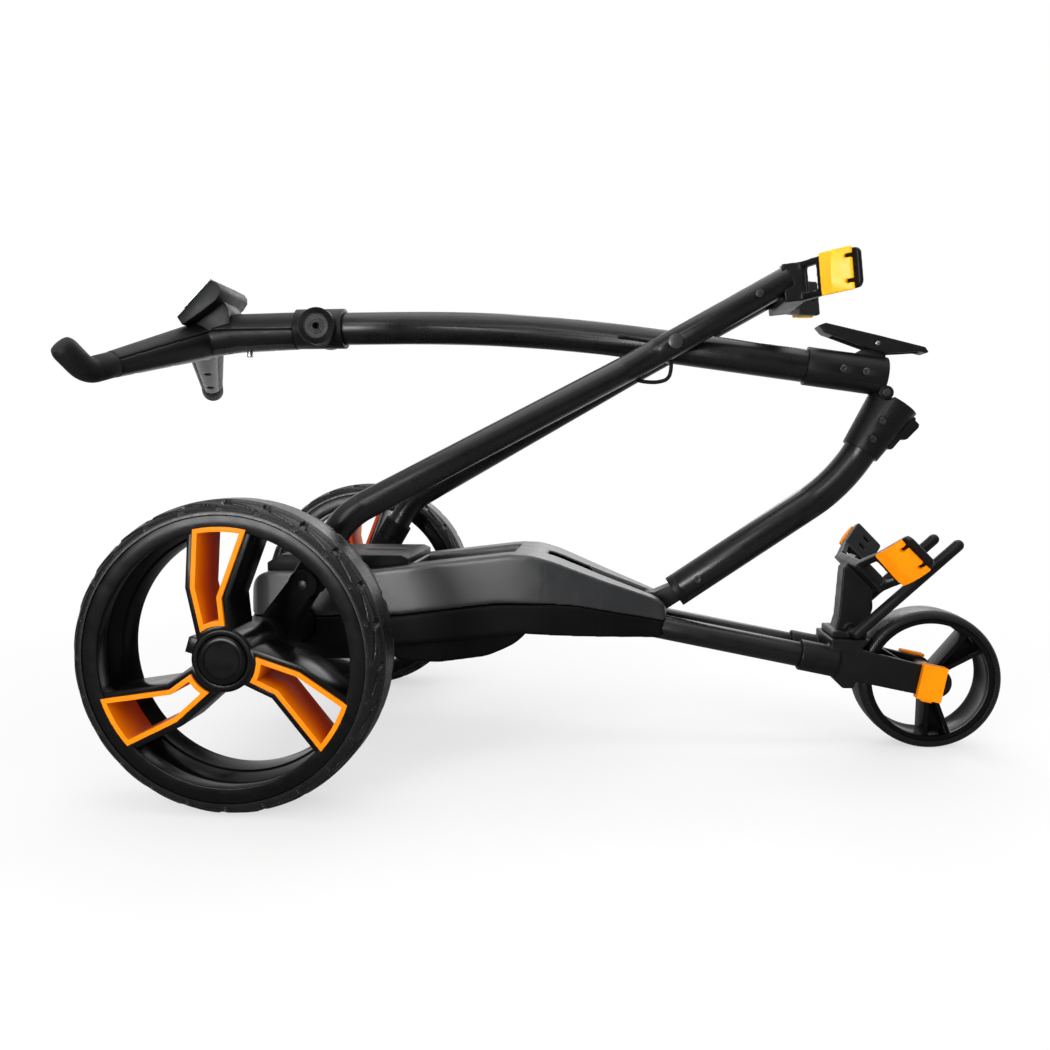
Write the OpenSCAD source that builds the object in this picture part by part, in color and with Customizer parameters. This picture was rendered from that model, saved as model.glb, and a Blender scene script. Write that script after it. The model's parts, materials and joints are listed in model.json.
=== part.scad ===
// Electric golf trolley, folded flat for transport.
// Three wheels, a battery tray, a two-part folding shaft and two bag cradles.
// Millimetres. X points forward, Y to the left, Z up, and the wheels stand on Z = 0.
// Frame positions are given from the point on the ground under the rear axle.

/* [Rear wheels] */
// Outer diameter of a rear tyre
wheel_diameter = 295; // [291:1:299]
// Width of a rear tyre
wheel_width = 75; // [71:1:78]
// Width over both rear tyres
overall_width = 590; // [584:1:600]
// Height of the tyre over its seat on the rim
tyre_depth = 17.5; // [16:0.5:20]
// Width of the flat ring round the face of the rim
ring_width = 15; // [12:0.5:17]
// Diameter of the round hub
hub_diameter = 60; // [58:1:62]
// Diameter of the release button in the hub
button_diameter = 46; // [40:1:48]
// Wall of the coloured spoke inserts
insert_wall = 4.5; // [3.5:0.1:5.5]
// Diameter of the drive axle
axle_diameter = 16; // [14:0.5:17]

/* [Front wheel] */
// Outer diameter of the front tyre
front_diameter = 160; // [156:1:163]
// Width of the front tyre
front_width = 50; // [44:1:53]
// Diameter of the front axle bolt
front_bolt = 10; // [8:0.5:11]
// Distance from the rear axle to the front axle
wheelbase = 719; // [715:1:724]

/* [Tubes] */
// Outer diameter of the folding shaft
shaft_diameter = 38; // [36:0.5:39]
// Outer diameter of the bag support tubes
bag_diameter = 30; // [28:0.5:31]
// Outer diameter of the twin front tubes
front_tube_diameter = 28; // [26:0.5:28.5]
// Wall of every tube
tube_wall = 2; // [1.5:0.1:2.5]

/* [Body] */
// Half width of the body beside the battery
body_half = 90; // [86:1:94]
// Wall of the body shells
shell_wall = 4; // [3:0.25:4.5]
// Width of the battery well
well_width = 100; // [92:1:104]
// Height of the well floor over the ground
well_floor = 103; // [102:0.5:108]

/* [Drive] */
// Size of the gear teeth
gear_module = 1.6; // [1.55:0.01:1.62]
// Diameter of the drive motor
motor_diameter = 60; // [54:1:62]
// Length of the drive motor
motor_length = 68; // [60:1:70]

/* [Handle] */
// Reach of the grips behind the rear axle
handle_reach = 220; // [215:1:224]
// Diameter of the handle arms beside the grips
arm_diameter = 29; // [28.5:0.5:31]
// Diameter of the rubber grips
grip_diameter = 28; // [26:0.5:28.5]
// Width of the display housing
console_width = 84; // [76:1:90]

/* [Cradles] */
// Height of a cradle arm
arm_height = 42; // [38:1:44]
// Thickness of a cradle arm
arm_thickness = 7; // [6:0.25:8]
// Thickness of a coloured cradle cover
cover_thickness = 6; // [5:0.25:7]
// Diameter of the bag base prongs
prong_diameter = 13; // [11:0.5:14]

/* [Fits] */
// Radial running clearance
running_fit = 0.05; // [0.02:0.01:0.08]
// Gap between pieces that pass each other
pass_gap = 0.4; // [0.3:0.05:0.5]

/* [Hidden] */
$fn = 64;
axle_z = wheel_diameter / 2;
lift = axle_z - 147.5;
rear_x = -(wheelbase + front_diameter / 2 - handle_reach) / 2;
front_z = front_diameter / 2;
wheel_y = overall_width / 2 - wheel_width / 2;

// Rear wheel
rim_r = wheel_diameter / 2 - tyre_depth;
rim_half = wheel_width / 2 - 1;
flange_width = 3;
flange_height = 4;
ring_outer = rim_r + flange_height;
ring_inner = ring_outer - ring_width;
barrel_r = rim_r - 8;
hub_r = hub_diameter / 2;
hub_face = rim_half - 1;
spoke_back = -16;
spoke_face = hub_face - 0.5;
spoke_frame = 6;
spoke_count = 3;
insert_reach = ring_inner + 4;
insert_foot = hub_r + 2.4;
insert_stand = 1.7;
button_r = button_diameter / 2;
button_thick = 7;
button_rise = 1.5;
button_travel = 3.5;
button_room = button_thick + button_travel - button_rise + 1;
axle_end = 15;
pin_diameter = 6;
pin_half = 22;
pin_depth = 5;
tread_count = 24;
tread_depth = 4;
tread_wide = 5;
tread_reach = 13;
// Corners of a spoke opening: share of the way from the hub to the rim, and angle
spoke_corners = [[1.08, 100.7], [0.46, 112.8], [-0.05, 135], [-0.11, 75], [0.30, 88.8], [1.09, 77.5]];
spoke_sides = [for (c = spoke_corners)
  (hub_r + (insert_reach - hub_r) * c[0]) * [cos(c[1]), sin(c[1])]];

// Front wheel
front_tread = 9;
front_rim_r = front_diameter / 2 - front_tread;
front_ring = 6;
front_half = front_width / 2;
front_shoulder = 8;
front_crown = 0.6;
front_turn = 40;
front_splay = 11;
front_hub_r = 15;
front_hub_half = front_half + 1;
front_spoke_count = 3;

// Bent tubes
run_in = 0.3;
bend_step = 0.1;
ease_steps = 3;

// Fork
leg_inner = front_half + 4;
leg_thick = 10;
leg_outer = leg_inner + leg_thick;
leg_r = 17;
crown_half = leg_outer;
front_tube_y = 30.5;
front_tube_slope = 0.19;
front_tube_a = [376, 145.6 + lift];
fork_x = wheelbase - 107;
front_tube_b = [fork_x, front_tube_a.y - front_tube_slope * (fork_x - front_tube_a.x)];
sleeve_extra = 7;
sleeve_run = 42 * [1, -front_tube_slope];

// Fold pivots
foot_pivot = [40, 203 + lift];
bush_pivot = [425, 461.3 + lift];
hinge_pivot = [663, 406 + lift];
stem_pivot = [404, 161 + lift];
latch_pivot = [654, 462 + lift];
stem_pin = 10;
foot_pin = 10;
hinge_pin_d = 6;
latch_pin_d = 5;

// Bag support
foot_y = 165;
bag_y = 40;
bag_top = [548, bag_y, 530 + lift];
bag_knee = [385, bag_y, 439.7 + lift];
foot_dir = [35, 0, 59.7] / norm([35, 0, 59.7]);
bag_heel = [foot_pivot.x, foot_y, foot_pivot.y] + foot_dir * 81;
foot_start = [foot_pivot.x, foot_y, foot_pivot.y] + foot_dir * 20;
foot_top = [foot_pivot.x, foot_y, foot_pivot.y] + foot_dir * 48;
foot_half = 12;
foot_eye = 15;
ear_thick = 7;

// Control cable: the loop that hangs under the right bag tube
loop_route = [[421, -31, 455], [421.5, -30.5, 449], [422, -30, 443], [422, -30, 437], [421.5, -30, 431],
  [420, -30, 425.5], [416.5, -30, 421.5], [411, -30, 419.5], [405, -30.5, 418.5], [399, -31, 418.5],
  [393, -31.5, 419], [387, -32.5, 420], [381.5, -34.5, 422], [377, -37.5, 425], [373, -41, 429]];
loop_diameter = 4.5;
cord_sides = 10;

// Axle housing
housing_d = 44;
bearing_d = 32;
bearing_wide = 9;
housing_start = 78;
housing_end = wheel_y - rim_half - 8;

// Folding shaft
stem_low = [438, 0, 180 + lift];
stem_bend = [616.2, 0, 302.6 + lift];
stem_sleeve_low = [640.5, 0, 340.5 + lift];
stem_dir = (stem_sleeve_low - stem_bend) / norm(stem_sleeve_low - stem_bend);
stem_angle = atan2(stem_dir.z, stem_dir.x);
stem_top = stem_sleeve_low + stem_dir * 45;
knuckle_half = 15;
handle_back = [0, 0, 486.7 + lift];
handle_bend = [254, 0, 486.7 + lift];
handle_end = [648, 0, 427.8 + lift];
handle_dir = (handle_end - handle_bend) / norm(handle_end - handle_bend);
handle_angle = atan2(handle_dir.z, handle_dir.x);
fold_angle = 115.23;
face_gap = 0.6;
sleeve_wall = 3;
knuckle_r = 8;
knuckle_inner = 9;
knuckle_outer = 20;
bush_d = 16;

// Drive
gear_teeth = 40;
pinion_teeth = 20;
gear_r = gear_module * gear_teeth / 2;
pinion_r = gear_module * pinion_teeth / 2;
mesh_slack = 0.25;
motor_x = gear_r + pinion_r;
gear_y = -44;
gear_wide = 12;
pinion_wide = 14;
motor_y = -2;
gearhead_long = 20;
case_half = 77;
case_wall = 4;
case_back = -43;
case_front = 90;
case_low = axle_z - 43;
case_high = axle_z + 43;

// Colours of the source view
black = [0.10, 0.10, 0.11];
grey = [0.22, 0.22, 0.23];
orange = [0.95, 0.48, 0.05];
steel = [0.70, 0.71, 0.73];
rubber = [0.06, 0.06, 0.06];

// Vector helpers
function unit(v) = v / norm(v);
function at_y(p, y) = [p.x, y, p.y];
function flip(p) = [p.x, -p.y, p.z];
function left_normal(a, b) = [a.y - b.y, b.x - a.x] / norm(b - a);
// Polygon moved inwards by a distance, for points that run counter-clockwise
function inset(pts, d) = [for (i = [0:len(pts) - 1])
  let (a = pts[(i + len(pts) - 1) % len(pts)], b = pts[i], c = pts[(i + 1) % len(pts)],
    m = left_normal(a, b), n = left_normal(b, c))
  b + (m + n) * d / (1 + m * n)];

// Polygon with its corners eased by short curves
function eased(pts, r) = [for (i = [0:len(pts) - 1])
  let (a = pts[(i + len(pts) - 1) % len(pts)], b = pts[i], c = pts[(i + 1) % len(pts)],
    e = unit(b - a), f = unit(c - b),
    t = min(r * tan(acos(e * f) / 2), 0.45 * norm(b - a), 0.45 * norm(c - b)))
  each [for (k = [0:ease_steps]) let (u = k / ease_steps)
    (b - e * t) * (1 - u) * (1 - u) + b * 2 * u * (1 - u) + (b + f * t) * u * u]];

// Everything stands on the ground point under the rear axle
module from_axle() { translate([rear_x, 0, 0]) children(); }

module both_sides() {
  children();
  mirror([0, 1, 0]) children();
}

// Side shape pushed out across the trolley
module across(y0, y1) {
  translate([0, y1, 0]) rotate([90, 0, 0]) linear_extrude(y1 - y0) children();
}

module cross_pin(p, d, y0, y1) {
  translate([p.x, y1, p.y]) rotate([90, 0, 0]) cylinder(d = d, h = y1 - y0);
}

module rod(a, b, d) {
  v = b - a;
  translate(a) rotate([0, acos(v.z / norm(v)), atan2(v.y, v.x)]) cylinder(d = d, h = norm(v));
}

module cone(a, b, d1, d2) {
  v = b - a;
  translate(a) rotate([0, acos(v.z / norm(v)), atan2(v.y, v.x)])
    cylinder(d1 = d1, d2 = d2, h = norm(v));
}

module elbow(a, b, c, r, d) {
  e = unit(b - a);
  f = unit(c - b);
  bend = acos(e * f);
  axis = unit(cross(e, f));
  inward = cross(axis, e);
  start = b - e * r * tan(bend / 2);
  tilt = acos(axis.z);
  spin = atan2(axis.y, axis.x);
  ex = [cos(tilt) * cos(spin), cos(tilt) * sin(spin), -sin(tilt)];
  ey = [-sin(spin), cos(spin), 0];
  translate(start + inward * r) rotate([0, tilt, spin])
    rotate([0, 0, atan2(-inward * ey, -inward * ex)])
      rotate_extrude(angle = bend) translate([r, 0]) circle(d = d);
}

// Distance from a bend's corner to where the curve starts
function trim(a, b, c, r) = r * tan(acos(unit(b - a) * unit(c - b)) / 2);

// One bend between two straight runs, which reach a little way into the curve
module bent(a, b, c, r, d, over = 0) {
  t = trim(a, b, c, r) - run_in;
  rod(a - unit(b - a) * over, b - unit(b - a) * t, d);
  elbow(a, b, c, r, d - bend_step);
  rod(b + unit(c - b) * t, c + unit(c - b) * over, d);
}

// Two bends between three straight runs
module bent_twice(a, b, c, e, r1, r2, d, over = 0) {
  t1 = trim(a, b, c, r1) - run_in;
  t2 = trim(b, c, e, r2) - run_in;
  rod(a - unit(b - a) * over, b - unit(b - a) * t1, d);
  elbow(a, b, c, r1, d - bend_step);
  rod(b + unit(c - b) * t1, c - unit(c - b) * t2, d);
  elbow(b, c, e, r2, d - bend_step);
  rod(c + unit(e - c) * t2, e + unit(e - c) * over, d);
}

// Cord with its rings square to the route, which never runs straight across the trolley
function heading(route, i) = unit(route[min(i + 1, len(route) - 1)] - route[max(i - 1, 0)]);
function ring(route, i, d) = let (t = heading(route, i), u = unit(cross(t, [0, 1, 0])), v = cross(u, t))
  [for (k = [0:cord_sides - 1]) let (a = 360 * k / cord_sides) route[i] + (u * cos(a) + v * sin(a)) * d / 2];

module swept_cord(route, d) {
  last = len(route) - 1;
  points = [for (i = [0:last]) each ring(route, i, d)];
  skin = [for (i = [0:last - 1], k = [0:cord_sides - 1])
    let (a = i * cord_sides + k, b = i * cord_sides + (k + 1) % cord_sides)
    each [[a, b, a + cord_sides], [b, b + cord_sides, a + cord_sides]]];
  first_end = [for (k = [0:cord_sides - 1]) cord_sides - 1 - k];
  last_end = [for (k = [0:cord_sides - 1]) last * cord_sides + k];
  polyhedron(points, concat(skin, [first_end, last_end]));
}

// Rear wheel, drawn with its axle along Z and its outer face up
module wheel_right() { translate([0, -wheel_y, axle_z]) rotate([90, 0, 0]) children(); }
module wheel_left() { mirror([0, 1, 0]) wheel_right() children(); }

// Round crown between two side walls, cut by a row of tread notches at each shoulder
module tyre_shape() {
  half = wheel_width / 2;
  top = wheel_diameter / 2;
  seat = rim_half - flange_width;
  steps = 8;
  crown = [for (k = [0:2 * steps]) let (a = 90 * k / steps)
    [ring_outer + (top - ring_outer) * pow(sin(a), 0.9), half * sign(cos(a)) * sqrt(abs(cos(a)))]];
  difference() {
    rotate_extrude() polygon(concat([[rim_r, -seat], [rim_r, seat], [ring_outer, seat]], crown,
      [[ring_outer, -seat]]));
    for (side = [0, 1], i = [0:tread_count - 1]) mirror([0, 0, side])
      rotate((i + side / 2) * 360 / tread_count)
        translate([top - tread_depth, -tread_wide / 2, half - tread_reach])
          cube([2 * tread_depth, tread_wide, 2 * tread_reach]);
  }
}

module barrel_shape() {
  seat = rim_half - flange_width;
  rotate_extrude() polygon([
    [ring_inner, rim_half], [ring_outer, rim_half], [ring_outer, seat], [rim_r, seat],
    [rim_r, -seat], [ring_outer, -seat], [ring_outer, -rim_half], [barrel_r, -rim_half],
    [barrel_r, spoke_back - 8], [ring_inner, spoke_back - 2]]);
}

module spoke_ring() {
  for (i = [0:spoke_count - 1]) rotate(i * 360 / spoke_count) children();
}

module spoke_opening(d) {
  difference() {
    intersection() {
      polygon(inset(spoke_sides, d));
      circle(r = insert_reach - d);
    }
    circle(r = insert_foot + d);
  }
}

module rim_shape() {
  difference() {
    union() {
      barrel_shape();
      spoke_ring() translate([0, 0, spoke_back]) linear_extrude(spoke_face - spoke_back) intersection() {
        polygon(inset(spoke_sides, -spoke_frame));
        circle(r = ring_inner + 2);
      }
      translate([0, 0, -rim_half]) cylinder(r = hub_r, h = hub_face + rim_half);
    }
    spoke_ring() translate([0, 0, spoke_back - 1]) linear_extrude(rim_half - spoke_back + 2)
      spoke_opening(0);
    translate([0, 0, hub_face - button_room]) cylinder(r = button_r + pass_gap, h = button_room + 1);
    translate([0, 0, -rim_half - 1]) cylinder(d = axle_diameter + 2 * running_fit,
      h = rim_half + axle_end + 2);
    translate([-pin_half - 1, -pin_diameter / 2 - pass_gap, -rim_half - 1])
      cube([2 * pin_half + 2, pin_diameter + 2 * pass_gap, pin_depth + pin_diameter / 2 + 2]);
  }
}

module insert_shape() {
  spoke_ring() translate([0, 0, spoke_back]) linear_extrude(hub_face - spoke_back + insert_stand)
    difference() {
      spoke_opening(0);
      spoke_opening(insert_wall);
    }
}

module button_shape() {
  low = hub_face + button_rise - button_thick;
  translate([0, 0, low]) cylinder(r = button_r, h = button_thick - button_rise);
  translate([0, 0, hub_face]) cylinder(r1 = button_r, r2 = button_r - button_rise, h = button_rise);
}

module rear_tyre_right() { color(rubber) from_axle() wheel_right() tyre_shape(); }
module rear_tyre_left() { color(rubber) from_axle() wheel_left() tyre_shape(); }
module rear_rim_right() { color(black) from_axle() wheel_right() rim_shape(); }
module rear_rim_left() { color(black) from_axle() wheel_left() rim_shape(); }
module spoke_inserts_right() { color(orange) from_axle() wheel_right() insert_shape(); }
module spoke_inserts_left() { color(orange) from_axle() wheel_left() insert_shape(); }
module hub_button_right() { color(black) from_axle() wheel_right() button_shape(); }
module hub_button_left() { color(black) from_axle() wheel_left() button_shape(); }

// Axle with a cross pin that drives each hub
module drive_axle() {
  reach = wheel_y + axle_end;
  pin_y = wheel_y - rim_half + pin_depth;
  color(steel) from_axle() union() {
    cross_pin([0, axle_z], axle_diameter, -reach, reach);
    for (side = [-1, 1]) translate([-pin_half, side * pin_y, axle_z]) rotate([0, 90, 0])
      cylinder(d = pin_diameter, h = 2 * pin_half);
  }
}

function involute(base, r) = let (a = acos(base / r)) tan(a) * 180 / PI - a;

// Half of one tooth flank, from root to tip
function flank(teeth, side) = let (pitch = gear_module * teeth / 2, base = pitch * cos(20),
    thick = (PI * gear_module / 2 - mesh_slack) / pitch * 90 / PI, tip = pitch + gear_module)
  [for (k = [0:4]) let (r = max(base, pitch - gear_module) + (tip - max(base, pitch - gear_module)) * k / 4,
    a = thick + involute(base, pitch) - involute(base, r)) [r * cos(side * a), r * sin(side * a)]];

module gear_shape(teeth, wide) {
  pitch = gear_module * teeth / 2;
  right = flank(teeth, -1);
  left = flank(teeth, 1);
  root = pitch - 1.25 * gear_module;
  tooth = concat([[root - 1, right[0].y]], right, [for (k = [0:4]) left[4 - k]], [[root - 1, left[0].y]]);
  linear_extrude(wide) union() {
    circle(r = root);
    for (i = [0:teeth - 1]) rotate(i * 360 / teeth) polygon(tooth);
  }
}

module axle_gear() {
  color(steel) from_axle() difference() {
    translate([0, gear_y + gear_wide, axle_z]) rotate([90, 0, 0]) gear_shape(gear_teeth, gear_wide);
    cross_pin([0, axle_z], axle_diameter, gear_y - 1, gear_y + gear_wide + 1);
  }
}

module motor_pinion() {
  shaft = 10;
  side = (pinion_wide - gear_wide) / 2;
  color(steel) from_axle() union() {
    translate([motor_x, gear_y + gear_wide + side, axle_z]) rotate([90, 0, 0])
      rotate(180 / pinion_teeth) gear_shape(pinion_teeth, pinion_wide);
    cross_pin([motor_x, axle_z], shaft, gear_y + gear_wide, motor_y - 8);
  }
}

module motor() {
  head_d = motor_diameter - 4;
  color(steel) from_axle() difference() {
    union() {
      cross_pin([motor_x, axle_z], head_d, motor_y - gearhead_long, motor_y);
      cross_pin([motor_x, axle_z], motor_diameter, motor_y, motor_y + motor_length);
    }
    cross_pin([motor_x, axle_z], 10 + 2 * running_fit, motor_y - gearhead_long - 1, motor_y - 7);
  }
}

module case_block(grow) {
  translate([case_back - grow, -case_half - grow, case_low - grow])
    cube([case_front - case_back + 2 * grow, 2 * (case_half + grow), case_high - case_low + 2 * grow]);
}

module case_shape() {
  difference() {
    case_block(0);
    difference() {
      case_block(-case_wall);
      translate([motor_x - 36, motor_y + motor_length - 6, case_low])
        cube([80, 12, case_high - case_low]);
    }
    cross_pin([motor_x, axle_z], motor_diameter, motor_y, motor_y + motor_length);
    cross_pin([0, axle_z], housing_d - 8, -case_half - 1, case_half + 1);
  }
}

module gearbox_case() {
  color(grey) from_axle() intersection() {
    case_shape();
    translate([case_back - 1, -case_half - 1, 0]) cube([200, 2 * case_half + 2, axle_z]);
  }
}

module gearbox_cover() {
  color(grey) from_axle() intersection() {
    case_shape();
    translate([case_back - 1, -case_half - 1, axle_z]) cube([200, 2 * case_half + 2, 100]);
  }
}

// Tubes that carry the axle, with ears for the bag frame
module housing_shape() {
  ear = foot_half + pass_gap;
  difference() {
    union() {
      cross_pin([0, axle_z], housing_d, housing_start, housing_end);
      difference() {
        across(foot_y - ear - ear_thick, foot_y + ear + ear_thick) ear_profile();
        across(foot_y - ear, foot_y + ear) foot_room();
      }
    }
    cross_pin([0, axle_z], housing_d - 8, housing_start - 1, housing_end - bearing_wide - 2);
    cross_pin([0, axle_z], bearing_d, housing_end - bearing_wide, housing_end + 1);
    cross_pin([0, axle_z], axle_diameter + 4, housing_start + 5, housing_end - bearing_wide / 2);
    cross_pin(foot_pivot, foot_pin, foot_y - 40, foot_y + 40);
  }
}

// Room for the foot's eye and for its swing
module foot_room() {
  translate(foot_pivot) union() {
    circle(r = foot_eye + 2);
    rotate(30) translate([-foot_eye - 4, 1]) square(60);
  }
}

module ear_profile() {
  union() {
    polygon([[-15, axle_z], [16, axle_z - 8], [foot_pivot.x + 10, foot_pivot.y - 8],
      [foot_pivot.x - 8, foot_pivot.y + 12], [-8, axle_z + 17]]);
    translate(foot_pivot) circle(r = 15);
  }
}

module axle_housings() { color(black) from_axle() both_sides() housing_shape(); }

module axle_bearings() {
  color(steel) from_axle() both_sides() difference() {
    cross_pin([0, axle_z], bearing_d, housing_end - bearing_wide, housing_end - 0.5);
    cross_pin([0, axle_z], axle_diameter + 2 * running_fit, housing_end - bearing_wide - 1, housing_end);
  }
}

module bag_frame_pins() {
  reach = foot_half + pass_gap + ear_thick;
  color(steel) from_axle() both_sides() cross_pin(foot_pivot, foot_pin, foot_y - reach, foot_y + reach);
}

// Body shells
body_side = [[-62, 150], [-50, 122], [113, 122], [256, 138], [410, 128], [419, 133], [419, 164],
  [409, 172.5], [345, 197], [292, 218.5], [268, 225.5], [243, 226.3], [91, 208], [60, 206],
  [-40, 204], [-57, 190]];
body_plan = [[-62, -58], [-46, 6 - body_half], [90, -body_half], [280, -body_half], [340, 16 - body_half],
  [402, -49], [419, -46], [419, 46], [402, 49], [340, body_half - 16], [280, body_half], [90, body_half],
  [-46, body_half - 6], [-62, 58]];
belly_side = [[102, 98], [160, 98], [215, 106], [248, 121], [266, 140], [102, 140]];
well_side = [[128, well_floor], [164, well_floor], [216, well_floor + 7], [238, 150], [246, 240],
  [128, 240]];
groove_side = [[282, 213.5], [345, 188], [470, 139], [470, 300], [282, 300]];
part_line = [[-200, 150], [112, 156], [234, 172], [310, 170], [560, 116], [560, 0], [-200, 0]];
side_ease = 60;
plan_ease = 40;
part_ease = 300;
deck_side = [[-38, 195], [126, 195], [126, 219], [118, 222.5], [-22, 222.5], [-38, 213]];
slot_half = 15.6;
stem_pin_half = 44;
slot_wide = 20.5;
nose_start = 338;
deck_half = 70;

module outer_form(d) {
  translate([0, 0, lift]) intersection() {
    across(-body_half - 1, body_half + 1) polygon(eased(inset(body_side, d), side_ease));
    linear_extrude(300) polygon(eased(inset(body_plan, d), plan_ease));
  }
}

module well_form(grow) {
  translate([0, 0, lift]) across(-well_width / 2 - grow, well_width / 2 + grow)
    polygon(inset(well_side, -grow));
}

module front_tube_bores(d) {
  both_sides() rod(at_y(front_tube_a, front_tube_y), at_y(front_tube_b, front_tube_y), d);
}

// Everything that the two shells leave free
module body_rooms() {
  difference() {
    intersection() {
      outer_form(shell_wall);
      translate([-100, -200, 0]) cube([100 + nose_start - 6, 400, 400]);
    }
    well_form(shell_wall);
  }
  well_form(0);
  case_block(0);
  cross_pin([0, axle_z], housing_d, -200, 200);
  translate([nose_start, -slot_half, 0]) cube([120, 2 * slot_half, 400]);
  translate([0, 0, lift]) across(-slot_wide, slot_wide) polygon(groove_side);
  front_tube_bores(front_tube_diameter);
  cross_pin(stem_pivot, stem_pin, -stem_pin_half - 0.2, 100);
}

module lower_shell() {
  color(black) from_axle() difference() {
    union() {
      intersection() {
        outer_form(0);
        translate([0, 0, lift]) across(-150, 150) polygon(eased(part_line, part_ease));
      }
      translate([0, 0, lift]) across(-well_width / 2 - 10, well_width / 2 + 10)
        polygon(eased(belly_side, side_ease));
    }
    body_rooms();
  }
}

module upper_shell() {
  color(grey) from_axle() difference() {
    outer_form(0);
    translate([0, 0, lift]) across(-150, 150) polygon(eased(part_line, part_ease));
    body_rooms();
  }
}

module rear_deck() {
  color(black) from_axle() difference() {
    translate([0, 0, lift]) across(-deck_half, deck_half) polygon(deck_side);
    outer_form(0);
    translate([64, -5, 216.5 + lift]) cube([42, 10, 20]);
    translate([64, 0, 216.5 + lift]) cylinder(d = 10, h = 20);
    translate([106, 0, 216.5 + lift]) cylinder(d = 10, h = 20);
  }
}

module control_unit() {
  deep = 26;
  color(grey) from_axle() translate([well_side[0].x - shell_wall - deep, -50, 135 + lift])
    cube([deep, 100, 55]);
}

module battery_socket() {
  color(black) from_axle() difference() {
    translate([128, -20, 150 + lift]) cube([10, 40, 26]);
    for (y = [-9, 9]) translate([131, y, 163 + lift]) rotate([0, 90, 0]) cylinder(d = 8, h = 10);
  }
}

module stem_pivot_pin() {
  color(steel) from_axle() cross_pin(stem_pivot, stem_pin, -stem_pin_half, stem_pin_half);
}

module front_tubes() {
  color(grey) from_axle() both_sides() difference() {
    rod(at_y(front_tube_a, front_tube_y), at_y(front_tube_b, front_tube_y), front_tube_diameter);
    rod(at_y(front_tube_a, front_tube_y) - [20, 0, -20 * front_tube_slope],
      at_y(front_tube_b, front_tube_y) + [20, 0, -20 * front_tube_slope],
      front_tube_diameter - 2 * tube_wall);
  }
}

// Front fork with its crown and two legs
module leg_profile() {
  union() {
    translate([wheelbase + 2, front_z]) circle(r = leg_r);
    polygon([front_tube_b + [0, -17], [wheelbase, front_z - leg_r], [wheelbase, front_z + leg_r],
      front_tube_b + [28, 15], front_tube_b + [0, 21]]);
  }
}

// Side shape drawn from the front end of the tubes
module from_fork(y0, y1) {
  across(y0, y1) translate(front_tube_b) children();
}

module front_fork() {
  color(black) from_axle() difference() {
    union() {
      from_fork(-crown_half, crown_half) polygon([[-8, -13], [6, -29], [18, -29], [22, -17], [22, 11],
        [36, 27], [-8, 27]]);
      both_sides() across(leg_inner, leg_outer) leg_profile();
      both_sides() rod(at_y(front_tube_b - sleeve_run, front_tube_y), at_y(front_tube_b, front_tube_y),
        front_tube_diameter + sleeve_extra);
    }
    front_tube_bores(front_tube_diameter);
    cross_pin([wheelbase, front_z], front_bolt, -100, 100);
    cross_pin([wheelbase, front_z], front_diameter + 6, -leg_inner, leg_inner);
  }
}

module front_axle() {
  head = 4;
  color(steel) from_axle() union() {
    cross_pin([wheelbase, front_z], front_bolt, -leg_outer - head, leg_outer + head);
    cross_pin([wheelbase, front_z], front_bolt + 7, -leg_outer - head, -leg_outer);
    cross_pin([wheelbase, front_z], front_bolt + 7, leg_outer, leg_outer + head);
  }
}

// Clips that wrap the ends of the legs, set along their slope
module axle_clips() {
  wide = 27;
  back = 5;
  tall = 2 * leg_r + 6;
  deep = 8;
  lip = 3;
  leg_angle = atan2(front_tube_b.y - front_z, wheelbase - fork_x);
  color(orange) from_axle() both_sides() difference() {
    translate([wheelbase, leg_inner + 4, front_z]) rotate([0, leg_angle, 0]) union() {
      translate([-wide / 2 - back, 0, -tall / 2]) cube([wide, leg_thick + deep - 4, tall]);
      translate([-back - 6, 0, -tall / 2 - 3]) cube([12, 8, 4]);
    }
    across(leg_inner, leg_outer) leg_profile();
    cross_pin([wheelbase, front_z], front_bolt + 9, leg_inner, leg_outer + deep - lip);
  }
}

module front_tyre() {
  edge = front_diameter / 2 - front_crown - front_shoulder;
  corner = [for (a = [0:15:90]) front_shoulder * [cos(a), sin(a)]];
  flat = front_half - front_shoulder;
  color(rubber) from_axle() translate([wheelbase, 0, front_z]) rotate([90, 0, 0]) rotate_extrude()
    polygon(concat([[front_rim_r, front_half]],
      [for (i = [0:6]) [edge + corner[6 - i].x, flat + corner[6 - i].y]], [[front_diameter / 2, 0]],
      [for (c = corner) [edge + c.x, -flat - c.y]], [[front_rim_r, -front_half]]));
}

// Deep barrel with three pairs of splayed blades
module front_rim() {
  face = front_half - 1;
  inner = front_rim_r - front_ring;
  barrel = front_rim_r - front_ring + 2;
  color(black) from_axle() translate([wheelbase, 0, front_z]) rotate([90, 0, 0]) difference() {
    union() {
      rotate_extrude() polygon([[inner, -face], [front_rim_r, -face], [front_rim_r, face], [inner, face],
        [inner, face - 4], [barrel, face - 7], [barrel, 7 - face], [inner, 4 - face]]);
      cylinder(r = front_hub_r, h = 2 * front_hub_half, center = true);
      for (i = [0:front_spoke_count - 1], s = [-front_splay, front_splay])
        rotate(front_turn + s + i * 360 / front_spoke_count)
          translate([8, -2.5, -15]) cube([barrel - 6.5, 5, 30]);
    }
    cylinder(d = front_bolt + 2 * running_fit, h = 4 * front_hub_half, center = true);
  }
}

// Bag cradle arm, drawn flat: X towards the bag, Y outwards, Z along the bag
arm_root = [-6, 46];
arm_elbow = [10, 73];
arm_tip = [42, 101];
cover_dir = unit(arm_tip - arm_elbow);
cover_out = [-cover_dir.y, cover_dir.x];
corner_r = 9;
corner_inset = 8.85;

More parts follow.
